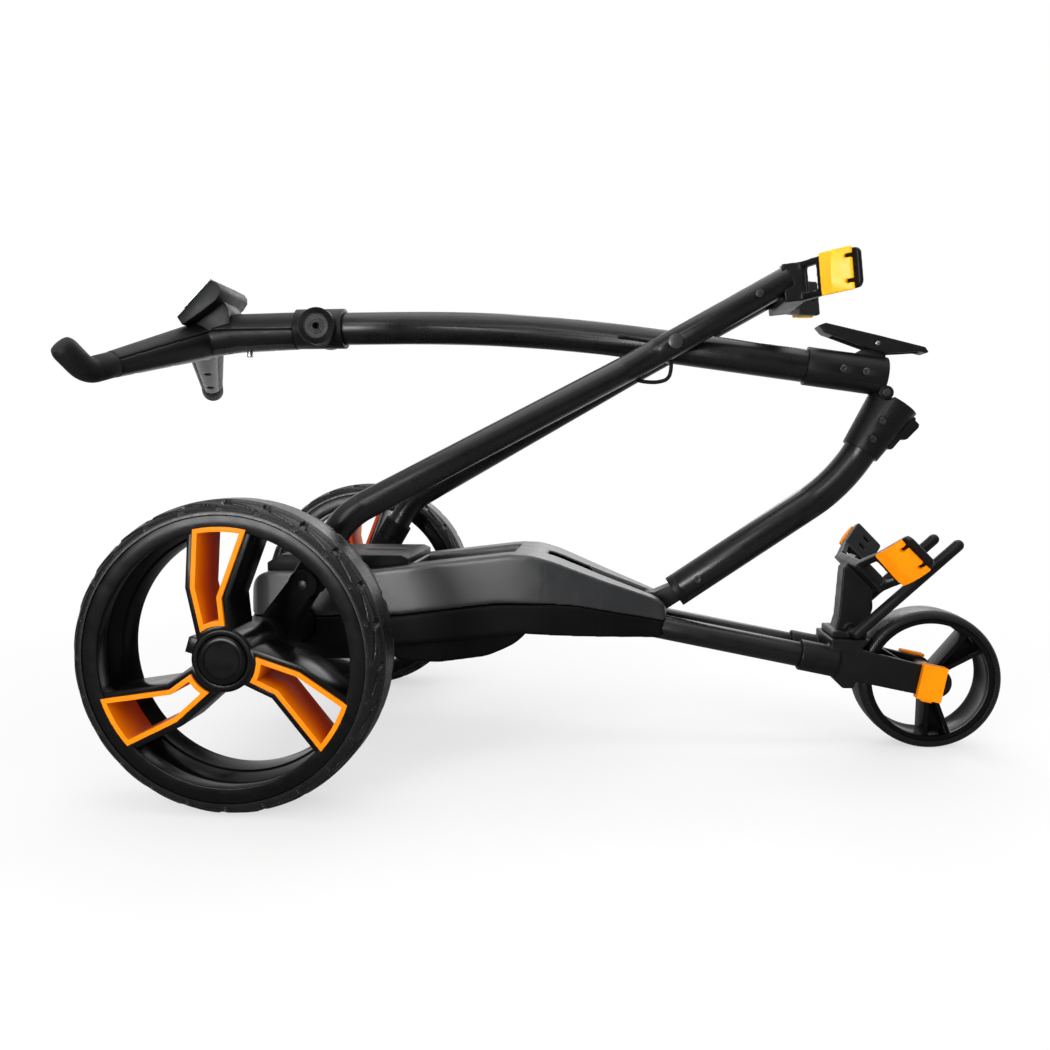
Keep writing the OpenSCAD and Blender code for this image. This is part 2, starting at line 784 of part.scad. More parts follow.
// What is taken off a free corner of a cradle arm to round it
module corner_cut() {
  difference() {
    translate([0, -20, 0]) cube([corner_r + 2, 40, corner_r + 2]);
    translate([0, -21, 0]) rotate([-90, 0, 0]) cylinder(r = corner_r, h = 42);
  }
}

module cradle_arm() {
  run = norm(arm_elbow - arm_root);
  difference() {
    union() {
      translate([0, 0, -arm_height / 2]) linear_extrude(arm_height) union() {
        polygon([arm_root, arm_root + [6, -4], arm_elbow + [4, -5], arm_tip + [3, -4], arm_tip + [2, 1],
          arm_tip + cover_out * 2, arm_elbow + cover_out * 2, arm_root + [-4, 2]]);
        translate(arm_tip) circle(r = arm_thickness / 2);
      }
    }
    translate([(arm_root.x + arm_elbow.x) / 2, (arm_root.y + arm_elbow.y) / 2, 0])
      rotate(atan2(arm_elbow.y - arm_root.y, arm_elbow.x - arm_root.x))
        cube([run - 10, 40, arm_height - 14], center = true);
    for (k = [0.35, 0.7]) translate(concat(arm_elbow + cover_dir * 42 * k, 0))
      rotate(atan2(cover_dir.y, cover_dir.x)) cube([3, 40, 10], center = true);
    for (s = [-1, 1]) mirror([0, 0, s > 0 ? 0 : 1]) translate(concat(arm_tip, arm_height / 2 - corner_inset))
      rotate(atan2(cover_dir.y, cover_dir.x))
        translate([arm_thickness / 2 - corner_inset, 0, 0]) corner_cut();
  }
}

module cradle_cover() {
  span = norm(arm_tip - arm_elbow) - arm_thickness / 2;
  base = arm_elbow + cover_out * 2;
  difference() {
    translate([0, 0, -arm_height / 2 - 1.5]) linear_extrude(arm_height + 3) polygon([
      base + cover_dir * 1, base + cover_dir * (span - 1),
      base + cover_dir * (span - 2) + cover_out * cover_thickness * 0.6,
      base + cover_dir * (span * 0.45) + cover_out * cover_thickness,
      base + cover_dir * 2 + cover_out * cover_thickness * 0.8]);
    for (s = [-1, 1]) translate(concat(base + cover_dir * (span - 2), s * (arm_height / 2 - 8)))
      rotate(atan2(cover_dir.y, cover_dir.x)) cube([14, 40, 4], center = true);
  }
}

upper_origin = [567, 526 + lift];
upper_turn = 6;
lower_origin = front_tube_b + [36.7, 105.2];
lower_turn = 44;

module in_cradle(origin, turn) { translate([origin.x, 0, origin.y]) rotate([0, -turn, 0]) children(); }

module upper_cradle() {
  color(black) from_axle() difference() {
    in_cradle(upper_origin, upper_turn) union() {
      both_sides() cradle_arm();
      translate([-26, -52, -arm_height / 2]) cube([24, 104, arm_height]);
    }
    both_sides() rod(bag_knee, bag_top, bag_diameter);
  }
}

module upper_cradle_covers() {
  color(orange) from_axle() in_cradle(upper_origin, upper_turn) both_sides() cradle_cover();
}

prong_a = front_tube_b + [20, 34.2];
prong_b = front_tube_b + [127, 135];
prong_y = 39;

module lower_cradle() {
  color(black) from_axle() union() {
    in_cradle(lower_origin, lower_turn) union() {
      both_sides() cradle_arm();
      translate([-12, -50, -arm_height / 2]) cube([10, 100, arm_height]);
    }
    from_fork(-14, 14) polygon([[0, 27], [34, 27], [44, 59], [42, 89], [24, 121], [10, 105], [6, 49]]);
    both_sides() union() {
      rod(at_y(prong_a, prong_y), at_y(prong_b, prong_y), prong_diameter);
      translate(at_y(prong_a, prong_y)) sphere(d = prong_diameter);
      translate(at_y(prong_b, prong_y)) sphere(d = prong_diameter);
    }
    cross_pin(prong_a, prong_diameter, -prong_y, prong_y);
    from_fork(-30, 30) translate([-4, 27]) square([38, 8]);
  }
}

module lower_cradle_covers() {
  color(orange) from_axle() in_cradle(lower_origin, lower_turn) both_sides() cradle_cover();
}

// Bag support frame
module bag_path(d, over) {
  bent_twice(foot_start, bag_heel, bag_knee, bag_top, 70, 150, d, over);
}

module bag_tube_shape() {
  difference() {
    bag_path(bag_diameter, 0);
    bag_path(bag_diameter - 2 * tube_wall, 5);
    cross_pin(bush_pivot, 8, 0, 100);
  }
}

module bag_tube_left() { color(grey) from_axle() bag_tube_shape(); }
module bag_tube_right() { color(grey) from_axle() mirror([0, 1, 0]) bag_tube_shape(); }

module bag_feet() {
  socket_d = bag_diameter + 7;
  color(black) from_axle() both_sides() difference() {
    union() {
      cross_pin(foot_pivot, 2 * foot_eye, foot_y - foot_half, foot_y + foot_half);
      intersection() {
        rod(at_y(foot_pivot, foot_y), foot_top, socket_d);
        union() {
          translate([-200, foot_y - foot_half, 0]) cube([600, 2 * foot_half, 600]);
          rod(at_y(foot_pivot, foot_y) + foot_dir * 26, foot_top, socket_d + 2);
        }
      }
    }
    rod(foot_start, foot_top + foot_dir, bag_diameter);
    cross_pin(foot_pivot, foot_pin + 2 * running_fit, foot_y - 30, foot_y + 30);
  }
}

module bag_frame_bolts() {
  inner = bag_y - bag_diameter / 2 + 0.5;
  outer = bag_y + bag_diameter / 2;
  screw = bag_knee + (bag_top - bag_knee) * 0.8;
  color(grey) from_axle() both_sides() union() {
    cross_pin(bush_pivot, 8, inner, outer + 1);
    cross_pin(bush_pivot, 16, outer + 0.2, outer + 2.5);
    cross_pin([screw.x, screw.z], 9, outer + 0.1, outer + 2.5);
  }
}

module bag_frame_cable() {
  color(rubber) from_axle() translate([0, 0, lift]) swept_cord(loop_route, loop_diameter);
}

// Folding shaft, lower part
module stem_path(d, over) { bent(stem_low, stem_bend, stem_top, 200, d, over); }

module stem_knuckle() {
  spigot = shaft_diameter - 2 * tube_wall;
  axis = unit(stem_bend - stem_low);
  side = [-axis.z, axis.x];
  neck = [stem_low.x - axis.x * 4, stem_low.z - axis.z * 4];
  color(black) from_axle() difference() {
    union() {
      cross_pin(stem_pivot, 30, -knuckle_half, knuckle_half);
      across(-knuckle_half, knuckle_half) polygon([stem_pivot + side * 13, stem_pivot - side * 13,
        neck - side * 10, neck + side * 10]);
      rod(stem_low - axis * 9, stem_low, shaft_diameter);
      rod(stem_low - axis * 3, stem_low + axis * 40, spigot);
    }
    cross_pin(stem_pivot, stem_pin + 2 * running_fit, -50, 50);
  }
}

module stem_tube() {
  color(black) from_axle() difference() {
    stem_path(shaft_diameter, 0);
    stem_path(shaft_diameter - 2 * tube_wall, 5);
  }
}

// Half space beyond a plane through the hinge, used to trim the sleeves
module beyond_hinge(angle) {
  translate([hinge_pivot.x, 0, hinge_pivot.y]) rotate([0, -angle, 0])
    translate([-face_gap, -150, -150]) cube([150, 300, 300]);
}

module hinge_room(d, y0, y1) { both_sides() cross_pin(hinge_pivot, d, y0, y1); }

// Outside of the handle's sleeve, which lies on the stem's when the trolley is folded
module handle_sleeve_rod(extra) {
  rod(handle_end - handle_dir * 72, handle_end + handle_dir * 40, shaft_diameter + 2 * sleeve_wall + extra);
}

module stem_sleeve() {
  sleeve_d = shaft_diameter + 2 * sleeve_wall;
  sleeve_end = stem_sleeve_low + stem_dir * 80;
  color(black) from_axle() difference() {
    union() {
      difference() {
        cone(stem_sleeve_low, sleeve_end, sleeve_d, sleeve_d + 16);
        beyond_hinge(stem_angle);
        cross_pin(hinge_pivot, 2 * knuckle_r + 2, knuckle_inner, 60);
        cross_pin(hinge_pivot, 2 * knuckle_r + 2, -60, -knuckle_inner);
      }
      cross_pin(hinge_pivot, 2 * knuckle_r, -knuckle_inner, knuckle_inner);
    }
    stem_path(shaft_diameter, 1);
    cross_pin(hinge_pivot, hinge_pin_d + 2 * running_fit, -80, 80);
    handle_sleeve_rod(2 * pass_gap);
    screw_seats(stem_screw_high, high_seat);
    screw_seats(stem_screw_low, low_seat);
  }
}

// Position on the upper stem, along its axis and out to its front
function on_stem(s, t) = [stem_sleeve_low.x, stem_sleeve_low.z] + [stem_dir.x, stem_dir.z] * s
  + [stem_dir.z, -stem_dir.x] * t;

stem_screw_high = on_stem(38, -3);
stem_screw_low = on_stem(16, 0);
high_seat = shaft_diameter / 2 + sleeve_wall + 1.5;
low_seat = shaft_diameter / 2 + sleeve_wall - 0.5;

module latch_catch() {
  color(black) from_axle() difference() {
    across(-8.5, 8.5) polygon([on_stem(40, 20), on_stem(58, 20), on_stem(58, 32), on_stem(52, 36),
      on_stem(40, 36)]);
    cone(stem_sleeve_low, stem_sleeve_low + stem_dir * 80, shaft_diameter + 2 * sleeve_wall,
      shaft_diameter + 2 * sleeve_wall + 16);
  }
}

// Button-head screws with a hexagon socket, whose heads start at a distance from the middle
screw_head = 9;
screw_rise = 2.6;
module screw_pair(p, y) {
  both_sides() translate([p.x, y, p.y]) rotate([-90, 0, 0]) difference() {
    union() {
      cylinder(d = screw_head, h = screw_rise - 1);
      translate([0, 0, screw_rise - 1]) cylinder(d1 = screw_head, d2 = screw_head - 2, h = 1);
    }
    translate([0, 0, screw_rise - 1.6]) cylinder(d = 4.6, h = 3, $fn = 6);
  }
}

// Recesses that take the screw heads
module screw_seats(p, y) {
  both_sides() cross_pin(p, screw_head + 2 * pass_gap, y, y + 30);
}

module stem_screws() {
  color(steel) from_axle() union() {
    screw_pair(stem_screw_high, high_seat);
    screw_pair(stem_screw_low, low_seat);
    screw_pair([stem_low.x, stem_low.z] + 22 * [0.824, 0.566], shaft_diameter / 2);
  }
}

// Folding shaft, upper part
handle_screw_back = [handle_end.x - 33, handle_end.z + 5];
handle_screw_front = [handle_end.x - 8, handle_end.z + 1.5];
handle_seat = shaft_diameter / 2 + sleeve_wall - 1.2;

module handle_path(d, over) { bent(handle_back, handle_bend, handle_end, 2000, d, over); }

module handle_tube() {
  color(black) from_axle() difference() {
    handle_path(shaft_diameter, 0);
    handle_path(shaft_diameter - 2 * tube_wall, 5);
    cross_pin(bush_pivot, bush_d, -60, 60);
  }
}

module handle_sleeve() {
  color(black) from_axle() difference() {
    union() {
      difference() {
        handle_sleeve_rod(0);
        beyond_hinge(stem_angle + fold_angle - 180);
        cross_pin(hinge_pivot, 2 * knuckle_r + 2, -knuckle_inner - pass_gap, knuckle_inner + pass_gap);
      }
      hinge_room(2 * knuckle_r, knuckle_inner + pass_gap, knuckle_outer);
      across(-8.8, 8.8) polygon([latch_pivot + [-14, -24], latch_pivot + [6, -24], latch_pivot + [4, 2],
        latch_pivot + [-4, 2]]);
      cross_pin(latch_pivot, 9, -8.8, 8.8);
    }
    handle_path(shaft_diameter, 1);
    cross_pin(hinge_pivot, hinge_pin_d, -80, 80);
    cross_pin(latch_pivot, latch_pin_d + 2 * running_fit, -30, 30);
    screw_seats(handle_screw_back, handle_seat);
    screw_seats(handle_screw_front, handle_seat);
  }
}

module hinge_pin() {
  color(steel) from_axle() union() {
    cross_pin(hinge_pivot, hinge_pin_d, -knuckle_outer - 2, knuckle_outer + 2);
    hinge_room(9, knuckle_outer, knuckle_outer + 2);
  }
}

module pivot_bush() {
  reach = bag_y - bag_diameter / 2 - pass_gap;
  color(black) from_axle() cross_pin(bush_pivot, bush_d, -reach, reach);
}

module handle_screws() {
  color(steel) from_axle() union() {
    screw_pair(handle_screw_back, handle_seat);
    screw_pair(handle_screw_front, handle_seat);
  }
}

module handle_cable() {
  d = 4;
  y = -shaft_diameter / 2 - d / 2;
  start = [367, 0, 471 + lift];
  color(rubber) from_axle() union() {
    rod([start.x, y, start.z], [bush_pivot.x - bush_d / 2 - 1, y, bush_pivot.y + 1], d);
    translate([start.x, y, start.z]) sphere(d = d);
    rod([start.x - 5, y - 0.7, start.z + 0.6], [start.x + 5, y - 0.7, start.z - 0.6], d + 1);
  }
}

// Handle head: a level body that drops into two spread arms
head_front = [-10, 0, 485 + lift];
head_back = [-95, 0, 482.5 + lift];
head_fork = [-137, 0, 475 + lift];
head_diameter = 46;
fork_diameter = 46;
arm_dir = unit([-59.7, 162.9, -52.2]);
arm_c = head_fork + arm_dir * 144;
grip_bend = arm_c + arm_dir * 35;
grip_tip = [(grip_diameter - bend_step) / 2 - handle_reach, 181, 443 + lift];
grip_dir = unit(grip_tip - grip_bend);
grip_flat = 8;
grip_radius = 20;
arm_under = unit([0, 0, -1] + arm_dir.z * arm_dir);
core_diameter = 16;
head_cut = -19.5;
clamp_d = shaft_diameter + 9;
boss_x = 11;

module head_form(extra = 0) {
  cone(head_front, head_back, head_diameter - 2 + extra, head_diameter + extra);
  cone(head_back + [4, 0, 0.1], head_fork, head_diameter - 0.4 + extra, fork_diameter - 4 + extra);
  both_sides() cone(head_fork + arm_dir * 3, arm_c, fork_diameter + extra, arm_diameter + extra);
}

// Level under the head, then along the slope of the arms
module under_head() {
  translate([0, 0, lift]) across(-250, 250) polygon([[-121, 484], [60, 484], [60, 340], [-286, 340]]);
}

module grip_core(d) { both_sides() rod(arm_c - arm_dir, arm_c + arm_dir * 15, d); }

module handle_frame() {
  color(black) from_axle() difference() {
    union() {
      difference() {
        head_form();
        under_head();
      }
      grip_core(core_diameter);
    }
    translate([head_cut, -60, 400 + lift]) cube([100, 120, 200]);
  }
}

module handle_underside() {
  color(grey) from_axle() difference() {
    intersection() {
      head_form();
      under_head();
    }
    grip_core(core_diameter);
    translate([head_cut, -60, 400 + lift]) cube([100, 120, 200]);
    both_sides() for (k = [62, 118]) screw_well(head_fork + arm_dir * k, arm_under, 12);
    screw_well([-104, 0, 480 + lift], [0, 0, -1], 19);
    screw_well([-50, 0, 482 + lift], [0, 0, -1], 19);
  }
}

// Hole that hides a screw head, from deep inside out through the surface
module screw_well(p, dir, start) { rod(p + dir * start, p + dir * 40, 7); }

module handle_grips() {
  color(rubber) from_axle() difference() {
    both_sides() union() {
      bent(arm_c, grip_bend, grip_tip, grip_radius, grip_diameter);
      translate(grip_tip) sphere(d = grip_diameter - bend_step);
    }
    both_sides() rod(grip_tip + grip_dir * grip_flat, grip_tip + grip_dir * 40, 60);
    grip_core(core_diameter);
  }
}

module handle_clamp() {
  teeth = 24;
  color(black) from_axle() difference() {
    union() {
      rod(handle_back + [head_cut, 0, 0], handle_back + [38, 0, 0], clamp_d);
      cross_pin([boss_x, handle_back.z], 43, -30, 30);
    }
    handle_path(shaft_diameter, 0);
    both_sides() translate([boss_x, 30, handle_back.z]) rotate([-90, 0, 0])
      for (i = [0:teeth - 1]) rotate(i * 360 / teeth) translate([11, -0.9, -1.5]) cube([8, 1.8, 3]);
    both_sides() cross_pin([boss_x, handle_back.z], 6.8, 19.4, 40);
  }
}

console_side = [[-151, 497], [-145, 488], [-119, 505], [-104, 516], [-98.5, 524], [-98.5, 530.5],
  [-102, 535.5], [-109, 539]];
neck_side = [[-140, 493], [-128, 478], [-96, 480], [-98, 510], [-106, 521], [-122, 512]];
neck_half = 20;
face_low = [-151, 497 + lift];
face_high = [-109, 539 + lift];
face_dir = unit(face_high - face_low);
face_turn = atan2(face_dir.y, face_dir.x);

// Places pieces on the sloping display face: X up the face, Z out of it
module on_face(s) {
  p = face_low + face_dir * s;
  translate([p.x, 0, p.y]) rotate([0, -face_turn, 0]) children();
}

module console_case() {
  color(black) from_axle() difference() {
    translate([0, 0, lift]) union() {
      across(-console_width / 2, console_width / 2) polygon(console_side);
      across(-neck_half, neck_half) polygon(neck_side);
    }
    head_form(2 * running_fit);
    on_face(35) translate([-17, -console_width / 2 + 5, -2]) cube([34, console_width - 10, 10]);
    on_face(9) translate([0, 0, -4]) cylinder(d = 5 + 2 * running_fit, h = 10);
  }
}

module console_screen() {
  color([0.08, 0.10, 0.13]) from_axle() on_face(35)
    translate([-17, -console_width / 2 + 5, -2]) cube([34, console_width - 10, 2.5]);
}

module speed_dial() {
  color(orange) from_axle() on_face(9) union() {
    translate([0, 0, -3.5]) cylinder(d = 5, h = 4);
    translate([0, 0, 0.4]) difference() {
      cylinder(d = 13, h = 5);
      translate([2, -0.6, 4]) cube([5, 1.2, 2]);
    }
  }
}

module park_stud() {
  color(steel) from_axle() difference() {
    translate([-80, 0, 454 + lift]) cylinder(d = 7, h = 22);
    head_form();
  }
}

// Draw latch, drawn open with its pivot at the origin and its hook along X
lever_turn = -15;
module in_lever() { translate([latch_pivot.x, 0, latch_pivot.y]) rotate([0, -lever_turn, 0]) children(); }

module latch_lever() {
  color(black) from_axle() in_lever() difference() {
    across(-13, 13) polygon([[-69, 3], [-60, -3], [-10, -8], [14, -8], [47, 2.6], [55, 2.6], [57, 4.5],
      [52, 9], [0, 9], [-62, 8]]);
    across(-9.3, 9.3) polygon([[-50, -20], [49, -20], [49, 20], [24, 20], [24, 5.5], [-50, 5.5]]);
    cross_pin([0, 0], latch_pin_d, -30, 30);
  }
}

module latch_pin() {
  color(steel) from_axle() cross_pin(latch_pivot, latch_pin_d, -13.5, 13.5);
}

upper_shell();
lower_shell();
rear_deck();
control_unit();
battery_socket();
gearbox_case();
gearbox_cover();
motor();
axle_housings();
axle_bearings();
bag_frame_pins();
stem_pivot_pin();
front_tubes();
front_fork();
front_axle();
axle_clips();
lower_cradle();
lower_cradle_covers();
drive_axle();
axle_gear();
motor_pinion();
rear_tyre_right();
rear_rim_right();
spoke_inserts_right();
hub_button_right();
rear_tyre_left();
rear_rim_left();
spoke_inserts_left();
hub_button_left();
front_tyre();
front_rim();
stem_knuckle();
stem_tube();
stem_sleeve();
latch_catch();
stem_screws();
handle_tube();
handle_sleeve();
hinge_pin();
pivot_bush();
handle_screws();
handle_cable();
handle_clamp();
handle_frame();
handle_underside();
handle_grips();
console_case();
console_screen();
speed_dial();
park_stud();
latch_lever();
latch_pin();
bag_tube_right();
bag_tube_left();
bag_feet();
upper_cradle();
upper_cradle_covers();
bag_frame_bolts();
bag_frame_cable();
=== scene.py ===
# Electric golf trolley, folded flat: finishes and modelled details over the CAD frame.
# Metres. X points forward, Y to the left, Z up, and the wheels stand on Z = 0.
import json
import math

import bmesh
import bpy
from mathutils import Matrix, Vector

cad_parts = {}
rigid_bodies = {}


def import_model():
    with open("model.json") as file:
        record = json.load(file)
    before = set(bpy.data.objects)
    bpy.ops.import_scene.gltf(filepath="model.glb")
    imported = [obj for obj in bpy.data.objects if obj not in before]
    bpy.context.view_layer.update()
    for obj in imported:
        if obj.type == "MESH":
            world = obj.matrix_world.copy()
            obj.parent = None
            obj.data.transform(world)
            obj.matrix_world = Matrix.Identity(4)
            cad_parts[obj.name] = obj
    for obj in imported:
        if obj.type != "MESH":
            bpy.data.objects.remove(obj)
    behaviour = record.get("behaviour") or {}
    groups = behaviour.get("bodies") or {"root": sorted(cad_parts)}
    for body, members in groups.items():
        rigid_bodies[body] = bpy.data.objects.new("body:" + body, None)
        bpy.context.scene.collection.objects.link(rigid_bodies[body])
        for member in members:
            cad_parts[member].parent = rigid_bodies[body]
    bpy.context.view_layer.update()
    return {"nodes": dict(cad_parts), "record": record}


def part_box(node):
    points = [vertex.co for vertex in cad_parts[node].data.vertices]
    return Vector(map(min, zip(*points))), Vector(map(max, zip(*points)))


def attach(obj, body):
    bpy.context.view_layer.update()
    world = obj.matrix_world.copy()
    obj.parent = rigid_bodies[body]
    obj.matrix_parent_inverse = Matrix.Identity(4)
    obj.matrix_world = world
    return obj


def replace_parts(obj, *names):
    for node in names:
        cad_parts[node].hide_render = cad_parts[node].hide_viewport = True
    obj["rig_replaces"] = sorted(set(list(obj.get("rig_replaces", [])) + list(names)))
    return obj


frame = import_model()
nodes = frame["nodes"]
print("frame loaded:", len(nodes), "nodes")

mm = 0.001


def boxCentre(node):
    low, high = (Vector(corner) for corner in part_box(node))
    return (low + high) / 2


rearAxle = boxCentre("drive_axle")
groundUnderAxle = Vector((rearAxle.x, 0, 0))


# Camera at the photograph's place, measured from the ground point under the rear axle
cameraPlace = {"x": 0.3482, "y": -1.1165, "z": 0.3317, "yaw": -4.861, "pitch": -4.023,
               "focalPixels": 940.886, "imagePixels": 1050, "sensorWidth": 36.0}


def setCamera():
    c = cameraPlace
    data = bpy.data.cameras.new("photoCamera")
    data.sensor_width = c["sensorWidth"]
    data.lens = c["focalPixels"] / c["imagePixels"] * c["sensorWidth"]
    data.clip_start = 0.01
    camera = bpy.data.objects.new("photoCamera", data)
    bpy.context.scene.collection.objects.link(camera)
    yaw, pitch = math.radians(c["yaw"]), math.radians(c["pitch"])
    ahead = Vector((math.sin(yaw) * math.cos(pitch), math.cos(yaw) * math.cos(pitch), math.sin(pitch)))
    camera.location = groundUnderAxle + Vector((c["x"], c["y"], c["z"]))
    camera.rotation_euler = ahead.to_track_quat("-Z", "Y").to_euler()
    bpy.context.scene.camera = camera


setCamera()
print("camera set")


# Cable loop under the bag frame, in millimetres from the rear axle and the ground
cableLoop = {"diameter": 4.5, "smoothness": 6,
             "route": [(421, -31, 455), (421.5, -30.5, 449), (422, -30, 443), (422, -30, 437),
                       (421.5, -30, 431), (420, -30, 425.5), (416.5, -30, 421.5), (411, -30, 419.5),
                       (405, -30.5, 418.5), (399, -31, 418.5), (393, -31.5, 419), (387, -32.5, 420),
                       (381.5, -34.5, 422), (377, -37.5, 425), (373, -41, 429)]}


def smoothRoute(points, steps):
    padded = points[:1] + points + points[-1:]
    route = []
    for before, here, there, after in zip(padded, padded[1:], padded[2:], padded[3:]):
        slope = there - before
        bend = 2 * before - 5 * here + 4 * there - after
        twist = 3 * here - before - 3 * there + after
        for t in (k / steps for k in range(steps)):
            route.append((2 * here + slope * t + bend * t ** 2 + twist * t ** 3) / 2)
    return route + points[-1:]


def makeCableLoop():
    points = [groundUnderAxle + Vector(point) * mm for point in cableLoop["route"]]
    route = smoothRoute(points, cableLoop["smoothness"])
    line = bpy.data.curves.new("cableLine", "CURVE")
    line.dimensions = "3D"
    line.bevel_depth = cableLoop["diameter"] / 2 * mm
    line.bevel_resolution = 4
    line.use_fill_caps = True
    spline = line.splines.new("POLY")
    spline.points.add(len(route) - 1)
    for knot, point in zip(spline.points, route):
        knot.co = (*point, 1)
    drawn = bpy.data.objects.new("cableLine", line)
    bpy.context.scene.collection.objects.link(drawn)
    bpy.context.view_layer.update()
    mesh = bpy.data.meshes.new_from_object(drawn.evaluated_get(bpy.context.evaluated_depsgraph_get()))
    bpy.data.objects.remove(drawn)
    mesh.shade_smooth()
    piece = bpy.data.objects.new("cableLoop", mesh)
    bpy.context.scene.collection.objects.link(piece)
    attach(piece, "bag_frame")
    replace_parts(piece, "bag_frame_cable")
    return piece


loopPiece = makeCableLoop()
print("cable loop made")


# Finishes: a base colour that drifts a little, a roughness that drifts with it, and a fine surface grain
def grainFinish(name, tints, rough, grain, bump, specular=0.5, metallic=0.0, coat=0.0, drift=18.0):
    material = bpy.data.materials.new(name)
    material.use_nodes = True
    tree = material.node_tree
    shader = tree.nodes["Principled BSDF"]
    shader.inputs["Specular IOR Level"].default_value = specular
    shader.inputs["Metallic"].default_value = metallic
    shader.inputs["Coat Weight"].default_value = coat
    shader.inputs["Coat Roughness"].default_value = 0.08
    place = tree.nodes.new("ShaderNodeTexCoord")
    broad = addNoise(tree, place, drift, 3.0)
    tint = tree.nodes.new("ShaderNodeValToRGB")
    tint.color_ramp.elements[0].position = 0.3
    tint.color_ramp.elements[1].position = 0.7
    tint.color_ramp.elements[0].color = (*tints[0], 1)
    tint.color_ramp.elements[1].color = (*tints[1], 1)
    tree.links.new(broad.outputs["Fac"], tint.inputs["Fac"])
    tree.links.new(tint.outputs["Color"], shader.inputs["Base Color"])
    wear = addNoise(tree, place, drift * 4, 6.0)
    tree.links.new(addRange(tree, wear.outputs["Fac"], (0.3, 0.7), rough), shader.inputs["Roughness"])
    fine = addNoise(tree, place, grain, 2.0)
    relief = tree.nodes.new("ShaderNodeBump")
    relief.inputs["Strength"].default_value = bump
    relief.inputs["Distance"].default_value = 0.0002
    tree.links.new(fine.outputs["Fac"], relief.inputs["Height"])
    tree.links.new(relief.outputs["Normal"], shader.inputs["Normal"])
    return material


def addRange(tree, value, before, after):
    spread = tree.nodes.new("ShaderNodeMapRange")
    spread.inputs["From Min"].default_value = before[0]
    spread.inputs["From Max"].default_value = before[1]
    spread.inputs["To Min"].default_value = after[0]
    spread.inputs["To Max"].default_value = after[1]
    tree.links.new(value, spread.inputs["Value"])
    return spread.outputs["Result"]


def addNoise(tree, place, scale, detail):
    noise = tree.nodes.new("ShaderNodeTexNoise")
    noise.inputs["Scale"].default_value = scale
    noise.inputs["Detail"].default_value = detail
    tree.links.new(place.outputs["Object"], noise.inputs["Vector"])
    return noise


finishes = {
    "satin_body": grainFinish("satinBody", ((0.008, 0.0085, 0.0095), (0.012, 0.0125, 0.014)),
                              rough=(0.33, 0.42), grain=1800, bump=0.35, specular=0.85),
    "black_plastic": grainFinish("blackPlastic", ((0.0030, 0.0030, 0.0031), (0.0052, 0.0052, 0.0054)),
                                 rough=(0.36, 0.48), grain=1500, bump=0.40, specular=0.20),
    "wheel_gloss": grainFinish("wheelGloss", ((0.0020, 0.0020, 0.0020), (0.0032, 0.0032, 0.0032)),
                               rough=(0.16, 0.26), grain=700, bump=0.05, specular=0.12),
    "orange_trim": grainFinish("orangeTrim", ((0.82, 0.215, 0.001), (0.88, 0.245, 0.001)),
                               rough=(0.34, 0.44), grain=1200, bump=0.12, specular=0.06),
    # Painted shade: the spoke inserts get a darker copy of the orange trim, standing in for the shade inside
    # the wheel
    "insert_trim_shaded": grainFinish("insertTrimShaded", ((0.66, 0.165, 0.001), (0.72, 0.190, 0.001)),
                               rough=(0.34, 0.44), grain=1200, bump=0.12, specular=0.06),
    "tyre_rubber": grainFinish("tyreRubber", ((0.0045, 0.0045, 0.0044), (0.0075, 0.0075, 0.0072)),
                               rough=(0.24, 0.36), grain=1400, bump=0.40, specular=0.26, drift=40),
    "grip_rubber": grainFinish("gripRubber", ((0.0035, 0.0035, 0.0035), (0.0060, 0.0060, 0.0060)),
                               rough=(0.48, 0.60), grain=1100, bump=0.6, specular=0.18),
    "black_tube": grainFinish("blackTube", ((0.0030, 0.0030, 0.0034), (0.0055, 0.0055, 0.0060)),
                              rough=(0.25, 0.33), grain=1600, bump=0.18, specular=0.32),
    "dark_screws": grainFinish("darkScrews", ((0.030, 0.030, 0.032), (0.050, 0.050, 0.052)),
                               rough=(0.24, 0.38), grain=2200, bump=0.15, metallic=0.6),
    "bright_steel": grainFinish("brightSteel", ((0.50, 0.50, 0.51), (0.62, 0.62, 0.63)),
                                rough=(0.20, 0.34), grain=2500, bump=0.12, metallic=1.0),
    "underside_grey": grainFinish("undersideGrey", ((0.010, 0.010, 0.0095), (0.016, 0.0155, 0.015)),
                                  rough=(0.22, 0.30), grain=1500, bump=0.12, specular=0.55),
    "glass_edge": grainFinish("glassEdge", ((0.50, 0.64, 0.68), (0.66, 0.78, 0.82)),
                              rough=(0.15, 0.25), grain=900, bump=0.05),
    # A matte black with little gloss, whose colour is darker than the other black plastic as painted shade,
    # for the lower shell, the bag feet and the parts inside and behind the wheels
    "matte_shaded_black": grainFinish("matteShadedBlack", ((0.0018, 0.0018, 0.0018), (0.0030, 0.0030, 0.0030)),
                              rough=(0.50, 0.62), grain=1300, bump=0.35, specular=0.08),
    # Painted light: the upper cradle covers get a lighter, yellower copy of the orange trim, standing in for
    # the light that falls on them
    "cover_lit_orange": grainFinish("coverLitOrange", ((0.92, 0.41, 0.006), (0.96, 0.49, 0.020)),
                               rough=(0.30, 0.40), grain=1200, bump=0.12, specular=0.30),
    "display": grainFinish("displayGlass", ((0.006, 0.008, 0.011), (0.010, 0.013, 0.017)),
                           rough=(0.06, 0.12), grain=500, bump=0.02, coat=0.6),
}
